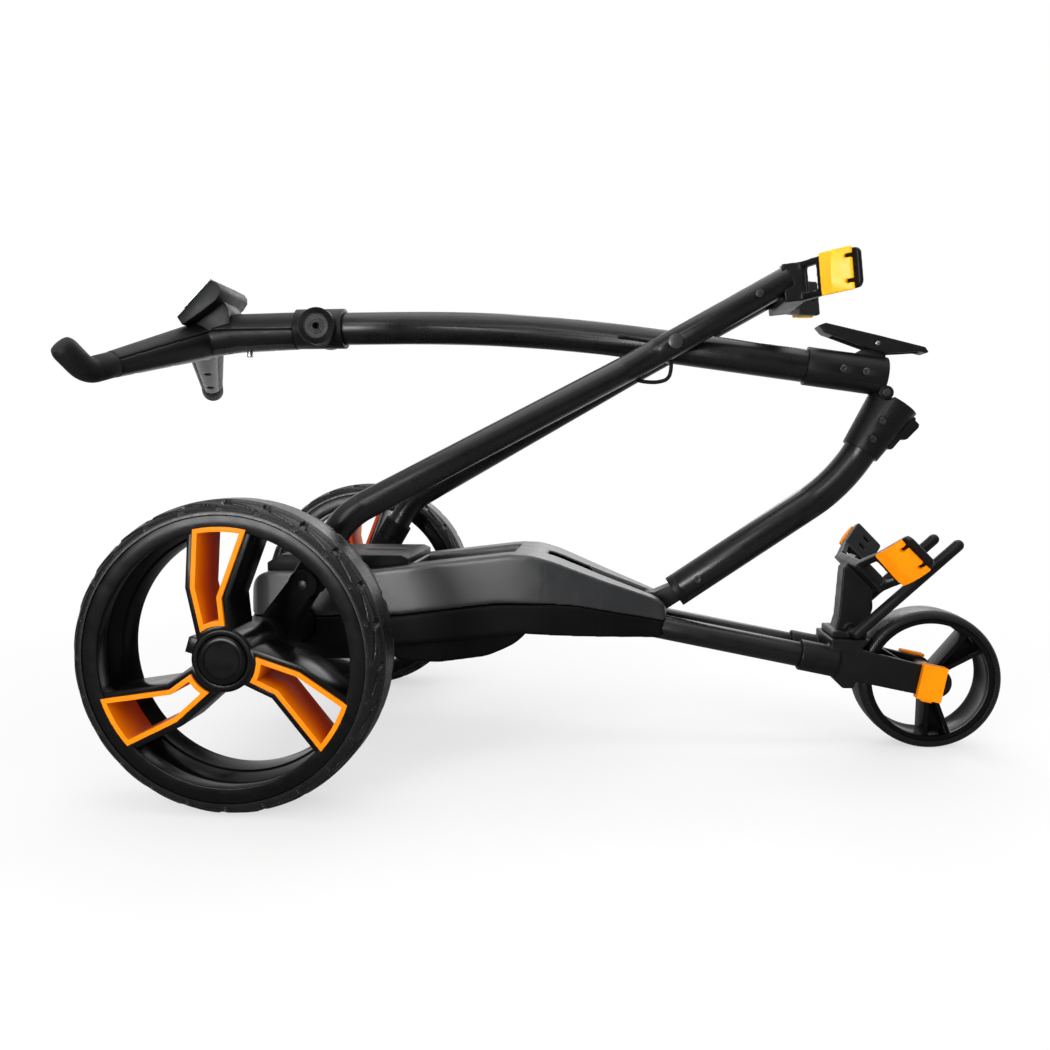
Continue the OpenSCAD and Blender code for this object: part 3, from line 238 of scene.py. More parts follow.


# Painted shade: the wheel inserts' hollow walls are painted darker and redder with depth below the outer
# face, standing in for the shade inside them
def paintShadeInwards(material, face, back, deep):
    tree = material.node_tree
    shader = tree.nodes["Principled BSDF"]
    tint = shader.inputs["Base Color"].links[0].from_socket
    place = tree.nodes.new("ShaderNodeTexCoord")
    split = tree.nodes.new("ShaderNodeSeparateXYZ")
    size = tree.nodes.new("ShaderNodeMath")
    size.operation = "ABSOLUTE"
    mix = tree.nodes.new("ShaderNodeMix")
    mix.data_type = "RGBA"
    tree.links.new(place.outputs["Object"], split.inputs[0])
    tree.links.new(split.outputs["Y"], size.inputs[0])
    tree.links.new(addRange(tree, size.outputs[0], (face, back), (0.0, 1.0)), mix.inputs["Factor"])
    tree.links.new(tint, mix.inputs["A"])
    mix.inputs["B"].default_value = (*deep, 1)
    tree.links.new(mix.outputs["Result"], shader.inputs["Base Color"])


loopPiece.data.materials.append(finishes["grip_rubber"])
print("finishes made:", len(finishes))


# Studio: a pale floor that fades to white, a white background, and soft lights above, left, in front,
# right and behind. A light is its name, place, aim, size and watts, and whether gloss shows it
studio = {"floorSize": 14.0, "floorColour": (0.84, 0.84, 0.84), "floorGlow": (0.62, 1.0), "fadeFrom": 0.4,
          "fadeTo": 1.2, "floorInGloss": 0.25, "whiteBehind": (0.3, 1.2), "ambient": 0.36,
          "behindCamera": 0.04, "ceiling": (0.1, 0.8), "backdrop": (0.0, 0.6),
          "lights": [("overhead", (0.1, 0.05, 2.3), (0, 0, 0.2), (2.2, 2.2), 28.0, True),
                     ("leftStrip", (-0.98, -2.2, 0.46), (-0.1, 0, 0.22), (0.9, 0.6), 42.0, True),
                     ("frontBox", (-0.6, -2.0, 1.5), (0, 0, 0.3), (0.9, 0.5), 9.0, True),
                     ("rightFill", (1.8, -1.8, 1.5), (0, 0, 0.25), (1.8, 1.8), 22.0, False),
                     ("backStrip", (0.5, 2.2, 1.7), (0, 0, 0.3), (1.4, 1.4), 18.0, True)]}


def setStudio():
    scene = bpy.context.scene
    scene.view_settings.view_transform = "Standard"
    bpy.ops.mesh.primitive_plane_add(size=studio["floorSize"])
    floor = bpy.context.object
    floor.name = "studioFloor"
    floor.data.materials.append(floorFinish())
    for name, place, aim, size, power, mirrored in studio["lights"]:
        data = bpy.data.lights.new(name, "AREA")
        data.shape = "RECTANGLE"
        data.size, data.size_y = size
        data.energy = power
        lamp = bpy.data.objects.new(name, data)
        scene.collection.objects.link(lamp)
        lamp.location = place
        lamp.visible_glossy = mirrored
        lamp.rotation_euler = (Vector(aim) - Vector(place)).to_track_quat("-Z", "Y").to_euler()
    setWorld(scene)


def floorFinish():
    material = bpy.data.materials.new("paleFloor")
    material.use_nodes = True
    tree = material.node_tree
    shader = tree.nodes["Principled BSDF"]
    shader.inputs["Base Color"].default_value = (*studio["floorColour"], 1)
    shader.inputs["Roughness"].default_value = 0.6
    dim = tree.nodes.new("ShaderNodeBsdfDiffuse")
    dim.inputs["Color"].default_value = (*[studio["floorInGloss"]] * 3, 1)
    place = tree.nodes.new("ShaderNodeTexCoord")
    away = tree.nodes.new("ShaderNodeVectorMath")
    away.operation = "LENGTH"
    tree.links.new(place.outputs["Object"], away.inputs[0])
    fade = addRange(tree, away.outputs["Value"], (studio["fadeFrom"], studio["fadeTo"]), studio["floorGlow"])
    glow = tree.nodes.new("ShaderNodeEmission")
    seen = tree.nodes.new("ShaderNodeLightPath")
    share = tree.nodes.new("ShaderNodeMath")
    share.operation = "MULTIPLY"
    split = tree.nodes.new("ShaderNodeSeparateXYZ")
    tree.links.new(place.outputs["Object"], split.inputs[0])
    sweep = tree.nodes.new("ShaderNodeMixShader")
    tree.links.new(addRange(tree, split.outputs["Y"], studio["whiteBehind"], (0.0, 1.0)), sweep.inputs["Fac"])
    tree.links.new(dim.outputs[0], sweep.inputs[1])
    tree.links.new(glow.outputs[0], sweep.inputs[2])
    gloss = tree.nodes.new("ShaderNodeMixShader")
    mix = tree.nodes.new("ShaderNodeMixShader")
    tree.links.new(seen.outputs["Is Glossy Ray"], gloss.inputs["Fac"])
    tree.links.new(shader.outputs[0], gloss.inputs[1])
    tree.links.new(sweep.outputs[0], gloss.inputs[2])
    tree.links.new(seen.outputs["Is Camera Ray"], share.inputs[0])
    tree.links.new(fade, share.inputs[1])
    tree.links.new(share.outputs[0], mix.inputs["Fac"])
    tree.links.new(gloss.outputs[0], mix.inputs[1])
    tree.links.new(glow.outputs[0], mix.inputs[2])
    tree.links.new(mix.outputs[0], tree.nodes["Material Output"].inputs["Surface"])
    return material


# Seen directly the world is white; gloss sees a white backdrop and ceiling, and a dark room behind the camera
def setWorld(scene):
    world = bpy.data.worlds.new("studioWorld")
    scene.world = world
    world.use_nodes = True
    tree = world.node_tree
    background = tree.nodes["Background"]
    background.inputs["Color"].default_value = (1, 1, 1, 1)
    place = tree.nodes.new("ShaderNodeTexCoord")
    split = tree.nodes.new("ShaderNodeSeparateXYZ")
    tree.links.new(place.outputs["Generated"], split.inputs[0])
    dark = studio["behindCamera"]
    brighter = tree.nodes.new("ShaderNodeMath")
    brighter.operation = "MAXIMUM"
    tree.links.new(addRange(tree, split.outputs["Z"], studio["ceiling"], (dark, 1.0)), brighter.inputs[0])
    tree.links.new(addRange(tree, split.outputs["Y"], studio["backdrop"], (dark, 1.0)), brighter.inputs[1])
    seen = tree.nodes.new("ShaderNodeLightPath")
    gloss = addMix(tree, seen.outputs["Is Glossy Ray"], studio["ambient"], brighter.outputs[0])
    through = addMix(tree, seen.outputs["Is Transmission Ray"], gloss, 1.0)
    shown = addMix(tree, seen.outputs["Is Camera Ray"], through, 1.0)
    tree.links.new(shown, background.inputs["Strength"])


def addMix(tree, share, first, second):
    mix = tree.nodes.new("ShaderNodeMix")
    tree.links.new(share, mix.inputs["Factor"])
    for side, value in (("A", first), ("B", second)):
        if isinstance(value, float):
            mix.inputs[side].default_value = value
        else:
            tree.links.new(value, mix.inputs[side])
    return mix.outputs["Result"]


setStudio()
print("studio set")


# Shared modelling steps
def addPiece(name, bm, finish, body, replaced=(), sharp=35):
    mesh = bpy.data.meshes.new(name)
    bm.to_mesh(mesh)
    bm.free()
    mesh.materials.append(finishes[finish])
    mesh.shade_smooth()
    mesh.set_sharp_from_angle(angle=math.radians(sharp))
    piece = bpy.data.objects.new(name, mesh)
    bpy.context.scene.collection.objects.link(piece)
    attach(piece, body)
    if replaced:
        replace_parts(piece, *replaced)
    return piece


def spinProfile(bm, profile, steps):
    verts = [bm.verts.new((radius * mm, 0, height * mm)) for radius, height in profile]
    edges = [bm.edges.new((verts[i], verts[(i + 1) % len(verts)])) for i in range(len(verts))]
    bmesh.ops.spin(bm, geom=verts + edges, cent=(0, 0, 0), axis=(0, 0, 1), dvec=(0, 0, 0),
                   angle=2 * math.pi, steps=steps, use_merge=True, use_duplicate=False)
    bmesh.ops.remove_doubles(bm, verts=bm.verts, dist=1e-6)


def plate(bm, outline, low, high):
    face = bm.faces.new([bm.verts.new((x * mm, y * mm, low * mm)) for x, y in outline])
    raised = bmesh.ops.extrude_face_region(bm, geom=[face])["geom"]
    tops = [v for v in raised if isinstance(v, bmesh.types.BMVert)]
    bmesh.ops.translate(bm, verts=tops, vec=(0, 0, (high - low) * mm))


def frameOf(bm, outline, wall, low, high):
    inside = grown(outline, -wall)
    rings = [[bm.verts.new((x * mm, y * mm, height * mm)) for x, y in ring]
             for ring, height in ((outline, low), (outline, high), (inside, high), (inside, low))]
    for one, two in zip(rings, rings[1:] + rings[:1]):
        for i in range(len(one)):
            bm.faces.new((one[i - 1], one[i], two[i], two[i - 1]))


def bevelSharp(bm, width, segments=2, angle=30):
    limit = math.radians(angle)
    bm.normal_update()
    edges = [e for e in bm.edges if len(e.link_faces) == 2 and e.calc_face_angle(0) > limit]
    bmesh.ops.bevel(bm, geom=edges, offset=width * mm, offset_type="OFFSET", segments=segments, profile=0.5,
                    affect="EDGES", material=-1, clamp_overlap=True)


def arc(radius, start, end, steps):
    turns = [math.radians(start + (end - start) * i / steps) for i in range(steps + 1)]
    return [(radius * math.cos(t), radius * math.sin(t)) for t in turns]


def grown(outline, width):
    points = [Vector(p) for p in outline]
    out = []
    for before, here, after in zip(points[-1:] + points[:-1], points, points[1:] + points[:1]):
        one = (here - before).normalized()
        two = (after - here).normalized()
        normals = Vector((one.y, -one.x)), Vector((two.y, -two.x))
        out.append(here + (normals[0] + normals[1]) * width / (1 + normals[0].dot(normals[1])))
    return [tuple(p) for p in out]


hands = ((-1, "right"), (1, "left"))


# A wheel is drawn with its axle along Z and its outer face up, then stood on its side of the trolley
def standWheel(bm, centre, side):
    stand = Matrix(((1, 0, 0, 0), (0, 0, side, 0), (0, 1, 0, 0), (0, 0, 0, 1)))
    bmesh.ops.transform(bm, matrix=Matrix.Translation(centre) @ stand, verts=bm.verts)
    bmesh.ops.recalc_face_normals(bm, faces=bm.faces)


# Rear wheels, in millimetres from the wheel's centre
rearWheel = {"tyreRadius": 147.5, "tyreHalf": 37.4, "beadRadius": 134.0, "wallSquare": 0.5, "crownRound": 0.9,
             "blocks": 24, "aroundSteps": 29, "acrossSteps": 132,
             "ringInner": 119.0, "ringOuter": 134.0, "ringFace": 36.5, "seatRadius": 130.0,
             "hubRadius": 30.0, "hubFace": 35.5, "boreRadius": 9.0, "pocketDeep": 10.0,
             "buttonRadius": 23.0, "buttonRise": 1.5, "buttonDeep": 7.0,
             "spokes": 3, "spokeBack": -16.0, "spokeFace": 35.0, "frameWidth": 5.5,
             "insertWall": 4.5, "insertStand": 2.2, "insertOuter": (123.0, 78.1, 101.6),
             "insertInner": (32.4, 127.0, 83.5), "insertBends": ((-28.2, 67.1), (1.2, 57.9)),
             "tabTurn": 163.0, "tabPlace": (34.0, 0, 16.0), "tabSize": (14.0, 15.0, 12.0),
             "paintedShadeFrom": 2.5, "paintedShadeTo": 40.0, "paintedShadeColour": (0.40, 0.035, 0.001)}


# Tread of one block, in millimetres. Rise is 0 at the bead and 90 at the crown, and a turn of 1 is one block
tread = {"ledgeRise": 17, "ledgeHalf": 3.0, "ledgeLong": 0.42, "ledgeHigh": 0.8,
         "pinRise": 18, "pinHalf": 2.5, "pinLong": 0.025, "pinFade": 0.015, "pinHigh": 1.3,
         "dishHalf": 5.0, "dishLong": 0.08, "dishFade": 0.02, "dishDeep": 0.5,
         "hollowMargin": 0.04, "hollowRise": 30, "hollowClimb": 20, "hollowBend": 1.3, "hollowHalf": 5.5,
         "hollowRound": 0.7, "hollowFade": 1.5, "hollowDeep": 1.6,
         "lipGap": 3.0, "lipHalf": 1.0, "lipFade": 1.0, "lipHigh": 0.8,
         "grooveRises": (60, 66, 72, 78), "grooveHalf": 0.7, "grooveDeep": 0.9,
         "notchTurn": 0.9, "notchLong": 0.07, "notchRise": 58, "notchHalf": 16, "notchFade": 3,
         "notchPivot": 57, "notchLean": 300, "notchDeep": 3.2,
         "riseFade": 1.2, "turnFade": 0.03}


def treadDepth(turn, rise):
    t = tread
    fade = t["riseFade"]
    edge = min(turn, 1 - turn)
    ledge = band(rise - t["ledgeRise"], t["ledgeHalf"], fade)
    ledge *= band(turn - 0.5, t["ledgeLong"], t["turnFade"])
    pin = band(rise - t["pinRise"], t["pinHalf"], fade) * band(edge, t["pinLong"], t["pinFade"])
    dish = band(rise - t["pinRise"], t["dishHalf"], fade) * band(edge, t["dishLong"], t["dishFade"])
    raised = max(t["ledgeHigh"] * ledge, t["pinHigh"] * pin)
    depth = t["dishDeep"] * dish
    along = (turn - t["hollowMargin"]) / (1 - 2 * t["hollowMargin"])
    if 0 < along < 1:
        centre = t["hollowRise"] + t["hollowClimb"] * along ** t["hollowBend"]
        half = t["hollowHalf"] * math.sin(math.pi * along) ** t["hollowRound"]
        depth = max(depth, t["hollowDeep"] * band(rise - centre, half, t["hollowFade"]))
        outside = abs(rise - centre) - half - t["lipGap"]
        raised = max(raised, t["lipHigh"] * band(outside, t["lipHalf"], t["lipFade"]))
    for ring in t["grooveRises"]:
        depth = max(depth, t["grooveDeep"] * band(rise - ring, t["grooveHalf"], fade))
    lean = (rise - t["notchPivot"]) / t["notchLean"]
    notch = band(rise - t["notchRise"], t["notchHalf"], t["notchFade"])
    notch *= band(turn - t["notchTurn"] - lean, t["notchLong"], t["turnFade"])
    return max(depth, t["notchDeep"] * notch) - raised * (1 - notch)


# 1 within half a width, and down to 0 over the fade beyond it
def band(distance, half, fade):
    return min(1.0, max(0.0, (half + fade - abs(distance)) / fade))


def makeTyre(side):
    w = rearWheel
    bm = bmesh.new()
    around = w["blocks"] * w["aroundSteps"]
    bmesh.ops.create_grid(bm, x_segments=around, y_segments=w["acrossSteps"], size=1)
    for vert in bm.verts:
        blocks = (vert.co.x + 1) / 2 * w["blocks"]
        rise = 90 - abs(vert.co.y) * 90
        lean = math.radians(rise)
        height = math.copysign(w["tyreHalf"] * max(math.cos(lean), 0) ** w["wallSquare"], vert.co.y)
        radius = w["beadRadius"] + (w["tyreRadius"] - w["beadRadius"]) * math.sin(lean) ** w["crownRound"]
        depth = treadDepth((blocks + (0.5 if vert.co.y < 0 else 0)) % 1, rise)
        angle = 2 * math.pi * blocks / w["blocks"]
        away = radius - depth * math.sin(lean) ** 0.5
        inward = (height - math.copysign(depth * math.cos(lean), height)) * mm
        vert.co = (away * math.cos(angle) * mm, away * math.sin(angle) * mm, inward)
    bmesh.ops.remove_doubles(bm, verts=bm.verts, dist=1e-6)
    rims = [e for e in bm.edges if e.is_boundary]
    bmesh.ops.bridge_loops(bm, edges=rims)
    standWheel(bm, rearWheelCentre(side), side)
    return bm


def rearWheelCentre(side):
    return boxCentre("rear_tyre_right" if side < 0 else "rear_tyre_left")


def insertOutline():
    w = rearWheel
    left, right = w["insertBends"]
    return arc(*w["insertOuter"], 6) + [left] + arc(*w["insertInner"], 4) + [right]


def turned(outline, degrees):
    c, s = math.cos(math.radians(degrees)), math.sin(math.radians(degrees))
    return [(x * c - y * s, x * s + y * c) for x, y in outline]


def makeRim(side):
    w = rearWheel
    bm = bmesh.new()
    face, seat = w["ringFace"], w["seatRadius"]
    inner, outer = w["ringInner"], w["ringOuter"]
    spinProfile(bm, [(inner, face - 1.2), (inner + 0.8, face), (outer - 0.8, face), (outer, face - 0.8),
                     (outer, face - 4), (seat, face - 5), (seat, 5 - face), (outer, 4 - face),
                     (outer, -face), (inner - 2, -face), (inner - 3, 1 - face), (inner - 1.6, -11),
                     (inner + 0.4, -9.5), (inner + 2.4, 12), (inner + 3.6, 13.5),
                     (inner + 1.0, face - 4)], 192)
    hub, front, bore = w["hubRadius"], w["hubFace"], w["boreRadius"]
    pocket, floor = w["buttonRadius"] + 0.5, front - w["pocketDeep"]
    spinProfile(bm, [(pocket, floor), (pocket, front - 0.6), (pocket + 0.6, front), (hub - 2, front),
                     (hub, front - 2), (hub, -face + 2), (hub - 2, -face), (bore, -face), (bore, floor)], 96)
    outline = insertOutline()
    for i in range(w["spokes"]):
        spoke = turned(outline, i * 360 / w["spokes"])
        frameOf(bm, grown(spoke, w["frameWidth"]), w["frameWidth"], w["spokeBack"], w["spokeFace"])
    tab = Matrix.Rotation(math.radians(w["tabTurn"]), 4, "Z") @ Matrix.Translation(Vector(w["tabPlace"]) * mm)
    bmesh.ops.create_cube(bm, size=mm, matrix=tab @ Matrix.Diagonal((*w["tabSize"], 1)))
    bevelSharp(bm, 0.5, 2, 40)
    standWheel(bm, rearWheelCentre(side), side)
    return bm


def makeInserts(side):
    w = rearWheel
    bm = bmesh.new()
    for i in range(w["spokes"]):
        spoke = turned(insertOutline(), i * 360 / w["spokes"])
        frameOf(bm, grown(spoke, -0.1), w["insertWall"], w["spokeBack"], w["spokeFace"] + w["insertStand"])
    bevelSharp(bm, 0.7, 2, 40)
    standWheel(bm, rearWheelCentre(side), side)
    return bm


def makeButton(side):
    w = rearWheel
    top = w["hubFace"] + w["buttonRise"]
    base = top - w["buttonDeep"]
    edge = w["buttonRadius"]
    bm = bmesh.new()
    spinProfile(bm, [(0.01, top - 0.5), (edge - 7, top - 0.5), (edge - 6.4, top - 1.1),
                     (edge - 5.6, top - 1.1), (edge - 5, top), (edge - 2.4, top), (edge - 0.6, top - 0.9),
                     (edge, top - 2.4), (edge, base), (0.01, base)], 96)
    standWheel(bm, rearWheelCentre(side), side)
    return bm


# Painted shade on the inserts starts a little below their outer face and is full further in
wheelFace = abs(rearWheelCentre(-1).y) + (rearWheel["spokeFace"] + rearWheel["insertStand"]) * mm
paintedShadeDepths = [wheelFace - rearWheel[depth] * mm for depth in ("paintedShadeFrom", "paintedShadeTo")]
paintShadeInwards(finishes["insert_trim_shaded"], *paintedShadeDepths, rearWheel["paintedShadeColour"])
for side, hand in hands:
    wheel = hand + "_wheel"
    addPiece("rearTyre_" + hand, makeTyre(side), "tyre_rubber", wheel, ["rear_tyre_" + hand], sharp=50)
    addPiece("rearRim_" + hand, makeRim(side), "wheel_gloss", wheel, ["rear_rim_" + hand])
    inserts = addPiece("spokeInserts_" + hand, makeInserts(side), "orange_trim", wheel,
                       ["spoke_inserts_" + hand])
    # The inserts wear the darker orange, which is painted shade
    inserts.data.materials[0] = finishes["insert_trim_shaded"]
    addPiece("hubButton_" + hand, makeButton(side), "wheel_gloss", hand + "_button", ["hub_button_" + hand])
print("rear wheels made")


# Moulded housings: a copy of the solid, skinned at a fine pitch and eased, so its edges and joins are round
mouldings = {
    "upper_shell": {"pitch": 1.7, "rounds": 14, "keep": 0.5},
    # The lower shell and the bag feet wear the matte black whose darker colour is painted shade
    "lower_shell": {"pitch": 1.7, "rounds": 12, "keep": 0.5, "tint": "matte_shaded_black"},
    "handle_frame": {"pitch": 1.3, "rounds": 8}, "handle_underside": {"pitch": 1.3, "rounds": 6},
    "upper_cradle": {"pitch": 1.0, "rounds": 14}, "lower_cradle": {"pitch": 1.0, "rounds": 12},
    # The upper covers wear the lighter orange, which is painted light
    "upper_cradle_covers": {"pitch": 0.8, "rounds": 9, "tint": "cover_lit_orange"},
    "lower_cradle_covers": {"pitch": 0.8, "rounds": 9},
    "front_fork": {"pitch": 1.1, "rounds": 11}, "latch_lever": {"pitch": 0.9, "rounds": 4},
    "bag_feet": {"pitch": 1.0, "rounds": 4, "tint": "matte_shaded_black"}, "axle_clips": {"pitch": 0.9, "rounds": 4}}


def makeMoulding(node, plan):
    bm = bmesh.new()
    bm.from_mesh(nodes[node].data)
    bmesh.ops.remove_doubles(bm, verts=bm.verts, dist=1e-6)
    piece = addPiece("moulded_" + node, bm, slotOf[node], bodyOf[node], [node], sharp=180)
    if "tint" in plan:
        piece.data.materials[0] = finishes[plan["tint"]]
    skin = piece.modifiers.new("skin", "REMESH")
    skin.mode = "VOXEL"
    skin.voxel_size = plan["pitch"] * mm
    skin.use_smooth_shade = True
    ease = piece.modifiers.new("ease", "SMOOTH")
    ease.factor = 0.5
    ease.iterations = plan["rounds"]
    if "keep" in plan:
        thin = piece.modifiers.new("thin", "DECIMATE")
        thin.ratio = plan["keep"]
    return piece


def settle(piece):
    bpy.context.view_layer.update()
    made = piece.evaluated_get(bpy.context.evaluated_depsgraph_get())
    bm = bmesh.new()
    bm.from_mesh(made.to_mesh())
    made.to_mesh_clear()
    piece.modifiers.clear()
    return bm


# The body's sides follow a smooth plan: its corners are eased along the length, the same on both shells
bodySides = {"step": 4.0, "narrowest": 4.0, "reach": 11, "passes": 3, "easedFrom": 0.7, "easedOver": 0.25}


def planOf(bm):
    step, reach = bodySides["step"] * mm, bodySides["reach"]
    half = reach // 2
    start = min(v.co.x for v in bm.verts)
    count = int((max(v.co.x for v in bm.verts) - start) / step) + 1
    width = [bodySides["narrowest"] * mm] * count
    for vert in bm.verts:
        i = int((vert.co.x - start) / step)
        width[i] = max(width[i], abs(vert.co.y))
    smooth = list(width)
    for _ in range(bodySides["passes"]):
        smooth = [smooth[i] if i < reach or i >= count - reach else
                  sum(smooth[i - half:i + half + 1]) / (2 * half + 1) for i in range(count)]
    return {"start": start + step / 2, "step": step, "width": width,
            "shift": [b - a for a, b in zip(width, smooth)]}


def easePlan(bm, plan):
    for vert in bm.verts:
        at = (vert.co.x - plan["start"]) / plan["step"]
        i = max(0, min(len(plan["shift"]) - 2, int(at)))
        share = min(1.0, max(0.0, at - i))
        shift = plan["shift"][i] * (1 - share) + plan["shift"][i + 1] * share
        wide = plan["width"][i] * (1 - share) + plan["width"][i + 1] * share
        outward = (abs(vert.co.y) / wide - bodySides["easedFrom"]) / bodySides["easedOver"]
        vert.co.y += shift * min(1.0, max(0.0, outward)) * math.copysign(1, vert.co.y)


# Each cover swells outwards to a crease that runs up its middle
coverSwell = {"height": 5.0, "crease": 0.45}


def swell(bm, height, crease):
    seen = set()
    for first in bm.verts:
        if first in seen:
            continue
        seen.add(first)
        island = [first]
        for vert in island:  # the list grows as neighbours are found
            for edge in vert.link_edges:
                other = edge.other_vert(vert)
                if other not in seen:
                    seen.add(other)
                    island.append(other)
        swellOne(island, height, crease)


def swellOne(island, height, crease):
    middle = sum((v.co for v in island), Vector()) / len(island)
    spread = Matrix(((0, 0, 0), (0, 0, 0), (0, 0, 0)))
    for vert in island:
        d = vert.co - middle
        for i in range(3):
            for j in range(3):
                spread[i][j] += d[i] * d[j]
    out = thinAxis(spread)
    if out.y * middle.y < 0:
        out.negate()
    up = Vector((0, 0, 1))
    along = up.cross(out).normalized()
    if along.x < 0:
        along.negate()
    up = out.cross(along)
    flat = [((v.co - middle).dot(along), (v.co - middle).dot(up), (v.co - middle).dot(out)) for v in island]
    reach = [(min(p[i] for p in flat), max(p[i] for p in flat)) for i in range(3)]
    for vert, (a, u, o) in zip(island, flat):
        a = (a - reach[0][0]) / (reach[0][1] - reach[0][0])
        u = 2 * (u - reach[1][0]) / (reach[1][1] - reach[1][0]) - 1
        o = (o - reach[2][0]) / (reach[2][1] - reach[2][0])
        tent = a / crease if a < crease else (1 - a) / (1 - crease)
        vert.co += out * height * mm * o * tent * (1 - abs(u) ** 4)


def thinAxis(spread):
    inverse = spread.inverted()
    axis = Vector((0.3, 0.9, 0.2))
    for _ in range(60):
        axis = (inverse @ axis).normalized()
    return axis


slotOf = {entry["node"]: entry["material_slot"] for entry in frame["record"]["subparts"]}
bodyOf = {node: body for body, held in frame["record"]["behaviour"]["bodies"].items() for node in held}
moulded = {node: makeMoulding(node, plan) for node, plan in mouldings.items()}
shellMeshes = {node: settle(moulded[node]) for node in ("upper_shell", "lower_shell")}
bodyPlan = planOf(shellMeshes["upper_shell"])
for node, bm in shellMeshes.items():
    easePlan(bm, bodyPlan)
    bm.to_mesh(moulded[node].data)
for node in ("upper_cradle_covers", "lower_cradle_covers"):
    bm = settle(moulded[node])
    swell(bm, coverSwell["height"], coverSwell["crease"])
    bm.to_mesh(moulded[node].data)

# The handle's underside is satin where it faces down, and plain black plastic up its sides
undersideDown = -0.75
underside = moulded["handle_underside"]
bm = settle(underside)
bm.normal_update()
for face in bm.faces:
    face.material_index = 0 if face.normal.z < undersideDown else 1
bm.to_mesh(underside.data)
underside.data.materials.append(finishes["black_plastic"])
print("mouldings made")


# Small fittings. Side outlines are millimetres forward of the rear axle and above the ground
def sidePiece(name, outline, half, finish, body, replaced=(), soft=0.8):
    bm = bmesh.new()
    origin = groundUnderAxle
    face = bm.faces.new([bm.verts.new((origin.x + x * mm, -half * mm, z * mm)) for x, z in outline])
    raised = bmesh.ops.extrude_face_region(bm, geom=[face])["geom"]
    far = [v for v in raised if isinstance(v, bmesh.types.BMVert)]
    bmesh.ops.translate(bm, verts=far, vec=(0, 2 * half * mm, 0))
    bmesh.ops.recalc_face_normals(bm, faces=bm.faces)
    bevelSharp(bm, soft, 2, 30)
    return addPiece(name, bm, finish, body, replaced)


# Catch on the lower hinge sleeve: a long seat with a hooked block, along the sleeve and out from its axis
catch = {"foot": (640.5, 340.5), "along": (0.5398, 0.8418), "half": 8.4,
         "outline": [(19, 21), (63, 25), (63.5, 30), (61, 30.6), (59.5, 37), (56, 38.4), (39, 35.2), (36, 33),
                     (35.2, 29.2), (21, 27.6), (18.5, 26)]}


def onSleeve(s, t):
    (x, z), (ax, az) = catch["foot"], catch["along"]
    return x + ax * s + az * t, z + az * s - ax * t


sidePiece("latchCatch", [onSleeve(s, t) for s, t in catch["outline"]], catch["half"], "black_plastic", "stem",
          ["latch_catch"])
latchSeat = [(635.5, 448), (665, 443.6), (664, 451.4), (659, 454.2), (640, 456), (634.5, 454)]
sidePiece("latchSeat", latchSeat, catch["half"], "black_plastic", "handle")

# Glass over the console's sloping face
glass = {"middle": (-126.5, 523.3), "size": (46.0, 81.0, 2.2), "proud": 1.2, "soft": 0.35, "slope": 45.0}


def makeGlass():
    bm = bmesh.new()
    bmesh.ops.create_cube(bm, size=1)
    bmesh.ops.scale(bm, vec=[length * mm for length in glass["size"]], verts=bm.verts)
    bevelSharp(bm, glass["soft"], 3, 30)
    slope = math.radians(glass["slope"])
    out = Vector((-math.sin(slope), 0, math.cos(slope))) * glass["proud"] * mm
    middle = groundUnderAxle + Vector((glass["middle"][0] * mm, 0, glass["middle"][1] * mm)) + out
    lean = Matrix.Rotation(-slope, 4, "Y")
    bmesh.ops.transform(bm, matrix=Matrix.Translation(middle) @ lean, verts=bm.verts)
    bm.normal_update()
    for face in bm.faces:
        face.material_index = 1 if abs(face.normal.y) > 0.7 else 0
    piece = addPiece("consoleGlass", bm, "display", "handle", ["console_screen"])
    piece.data.materials.append(finishes["glass_edge"])


makeGlass()

# Toothed faces of the two accessory bosses on the handle clamp
bossFace = {"middle": (11.0, 486.7), "out": 30.0, "teeth": 60, "toothInner": 14.4, "toothOuter": 20.6,
            "rings": [(3.6, 0.1), (3.6, 0.5), (4.6, 0.9), (5.6, 0.9), (5.9, 0.2), (7.0, 0.2), (7.3, 1.0),
                      (8.6, 1.0), (9.0, 0.15), (13.6, 0.15), (14.0, 0.9), (14.5, 0.9), (14.5, 0.05)]}


def makeBossFace(side):
    b = bossFace
    bm = bmesh.new()
    spinProfile(bm, b["rings"], 72)
    steps = b["teeth"] * 2
    inner, outer = b["toothInner"], b["toothOuter"]
    rings = []
    for radius, height, tooth in ((inner, 0.05, 0), (inner, 0.3, 0.5), (outer, 0.3, 0.7),
                                  (outer + 0.3, 0.05, 0)):
        ring = []
        for i in range(steps):
            angle = 2 * math.pi * i / steps
            lift = (height + tooth * (i % 2)) * mm
            ring.append(bm.verts.new((radius * mm * math.cos(angle), radius * mm * math.sin(angle), lift)))
        rings.append(ring)
    for one, two in zip(rings, rings[1:] + rings[:1]):
        for i in range(steps):
            bm.faces.new((one[i - 1], one[i], two[i], two[i - 1]))
    centre = groundUnderAxle + Vector((b["middle"][0] * mm, side * b["out"] * mm, b["middle"][1] * mm))
    standWheel(bm, centre, side)
    return bm


for side, hand in hands:
    addPiece("bossFace_" + hand, makeBossFace(side), "black_plastic", "handle", sharp=20)

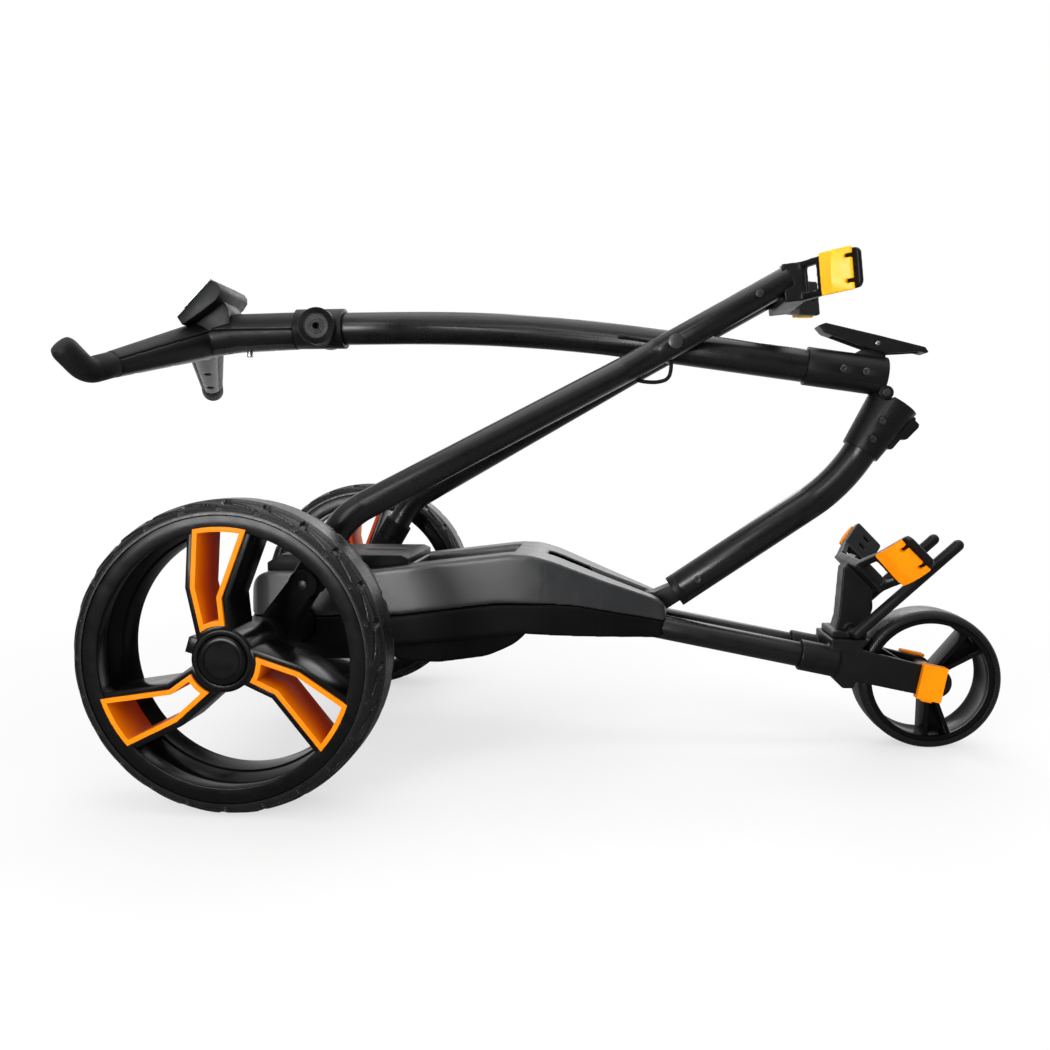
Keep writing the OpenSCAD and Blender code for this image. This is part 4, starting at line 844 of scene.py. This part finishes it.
# Thin webs between the paired spokes of the front wheel
frontWebs = {"first": 40.0, "count": 3, "splay": 11.0, "reach": (16.0, 66.5), "half": 1.6}


def makeFrontWebs():
    w = frontWebs
    bm = bmesh.new()
    edge = math.tan(math.radians(w["splay"]))
    near, far = w["reach"]
    for i in range(w["count"]):
        outline = [(near, -near * edge), (far, -far * edge), (far, far * edge), (near, near * edge)]
        plate(bm, turned(outline, w["first"] + i * 360 / w["count"]), -w["half"], w["half"])
    standWheel(bm, boxCentre("front_rim"), -1)
    return addPiece("frontWebs", bm, "wheel_gloss", "front_wheel")


makeFrontWebs()
print("small fittings made")


# Remaining CAD nodes keep their shape and get their finish, merged faces and softened edges
edgeWidths = {"default": 0.6, "handle_grips": 3.5, "console_case": 0.8, "stem_sleeve": 1.4,
              "handle_sleeve": 1.4, "handle_clamp": 1.0}
pierced = {"front_tyre", "front_rim"}  # their ring faces have holes, which joining flats would fill


def dressNode(node, finish):
    part = nodes[node]
    mesh = part.data
    mesh.materials.clear()
    mesh.materials.append(finishes[finish])
    mesh.shade_smooth()
    merge = part.modifiers.new("mergeFaces", "WELD")
    merge.merge_threshold = 1e-6
    if node not in pierced:
        flat = part.modifiers.new("joinFlats", "DECIMATE")
        flat.decimate_type = "DISSOLVE"
        flat.angle_limit = math.radians(1.0)
    soft = part.modifiers.new("softEdges", "BEVEL")
    soft.width = edgeWidths.get(node, edgeWidths["default"]) * mm
    soft.segments = 2
    soft.limit_method = "ANGLE"
    soft.angle_limit = math.radians(35)
    crisp = part.modifiers.new("crispEdges", "EDGE_SPLIT")
    crisp.split_angle = math.radians(40)


# The axle housings, gearbox and motor wear the matte black whose darker colour is painted shade
darkNodes = {"bag_frame_pins": "dark_screws", "stem_pivot_pin": "dark_screws", "axle_bearings": "dark_screws",
             "axle_housings": "matte_shaded_black", "gearbox_case": "matte_shaded_black", "gearbox_cover": "matte_shaded_black",
             "motor": "matte_shaded_black"}
hidden = {name for piece in bpy.context.scene.objects for name in piece.get("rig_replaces", [])}
for node in sorted(nodes):
    if node not in hidden:
        dressNode(node, darkNodes.get(node, slotOf[node]))
print("nodes dressed")
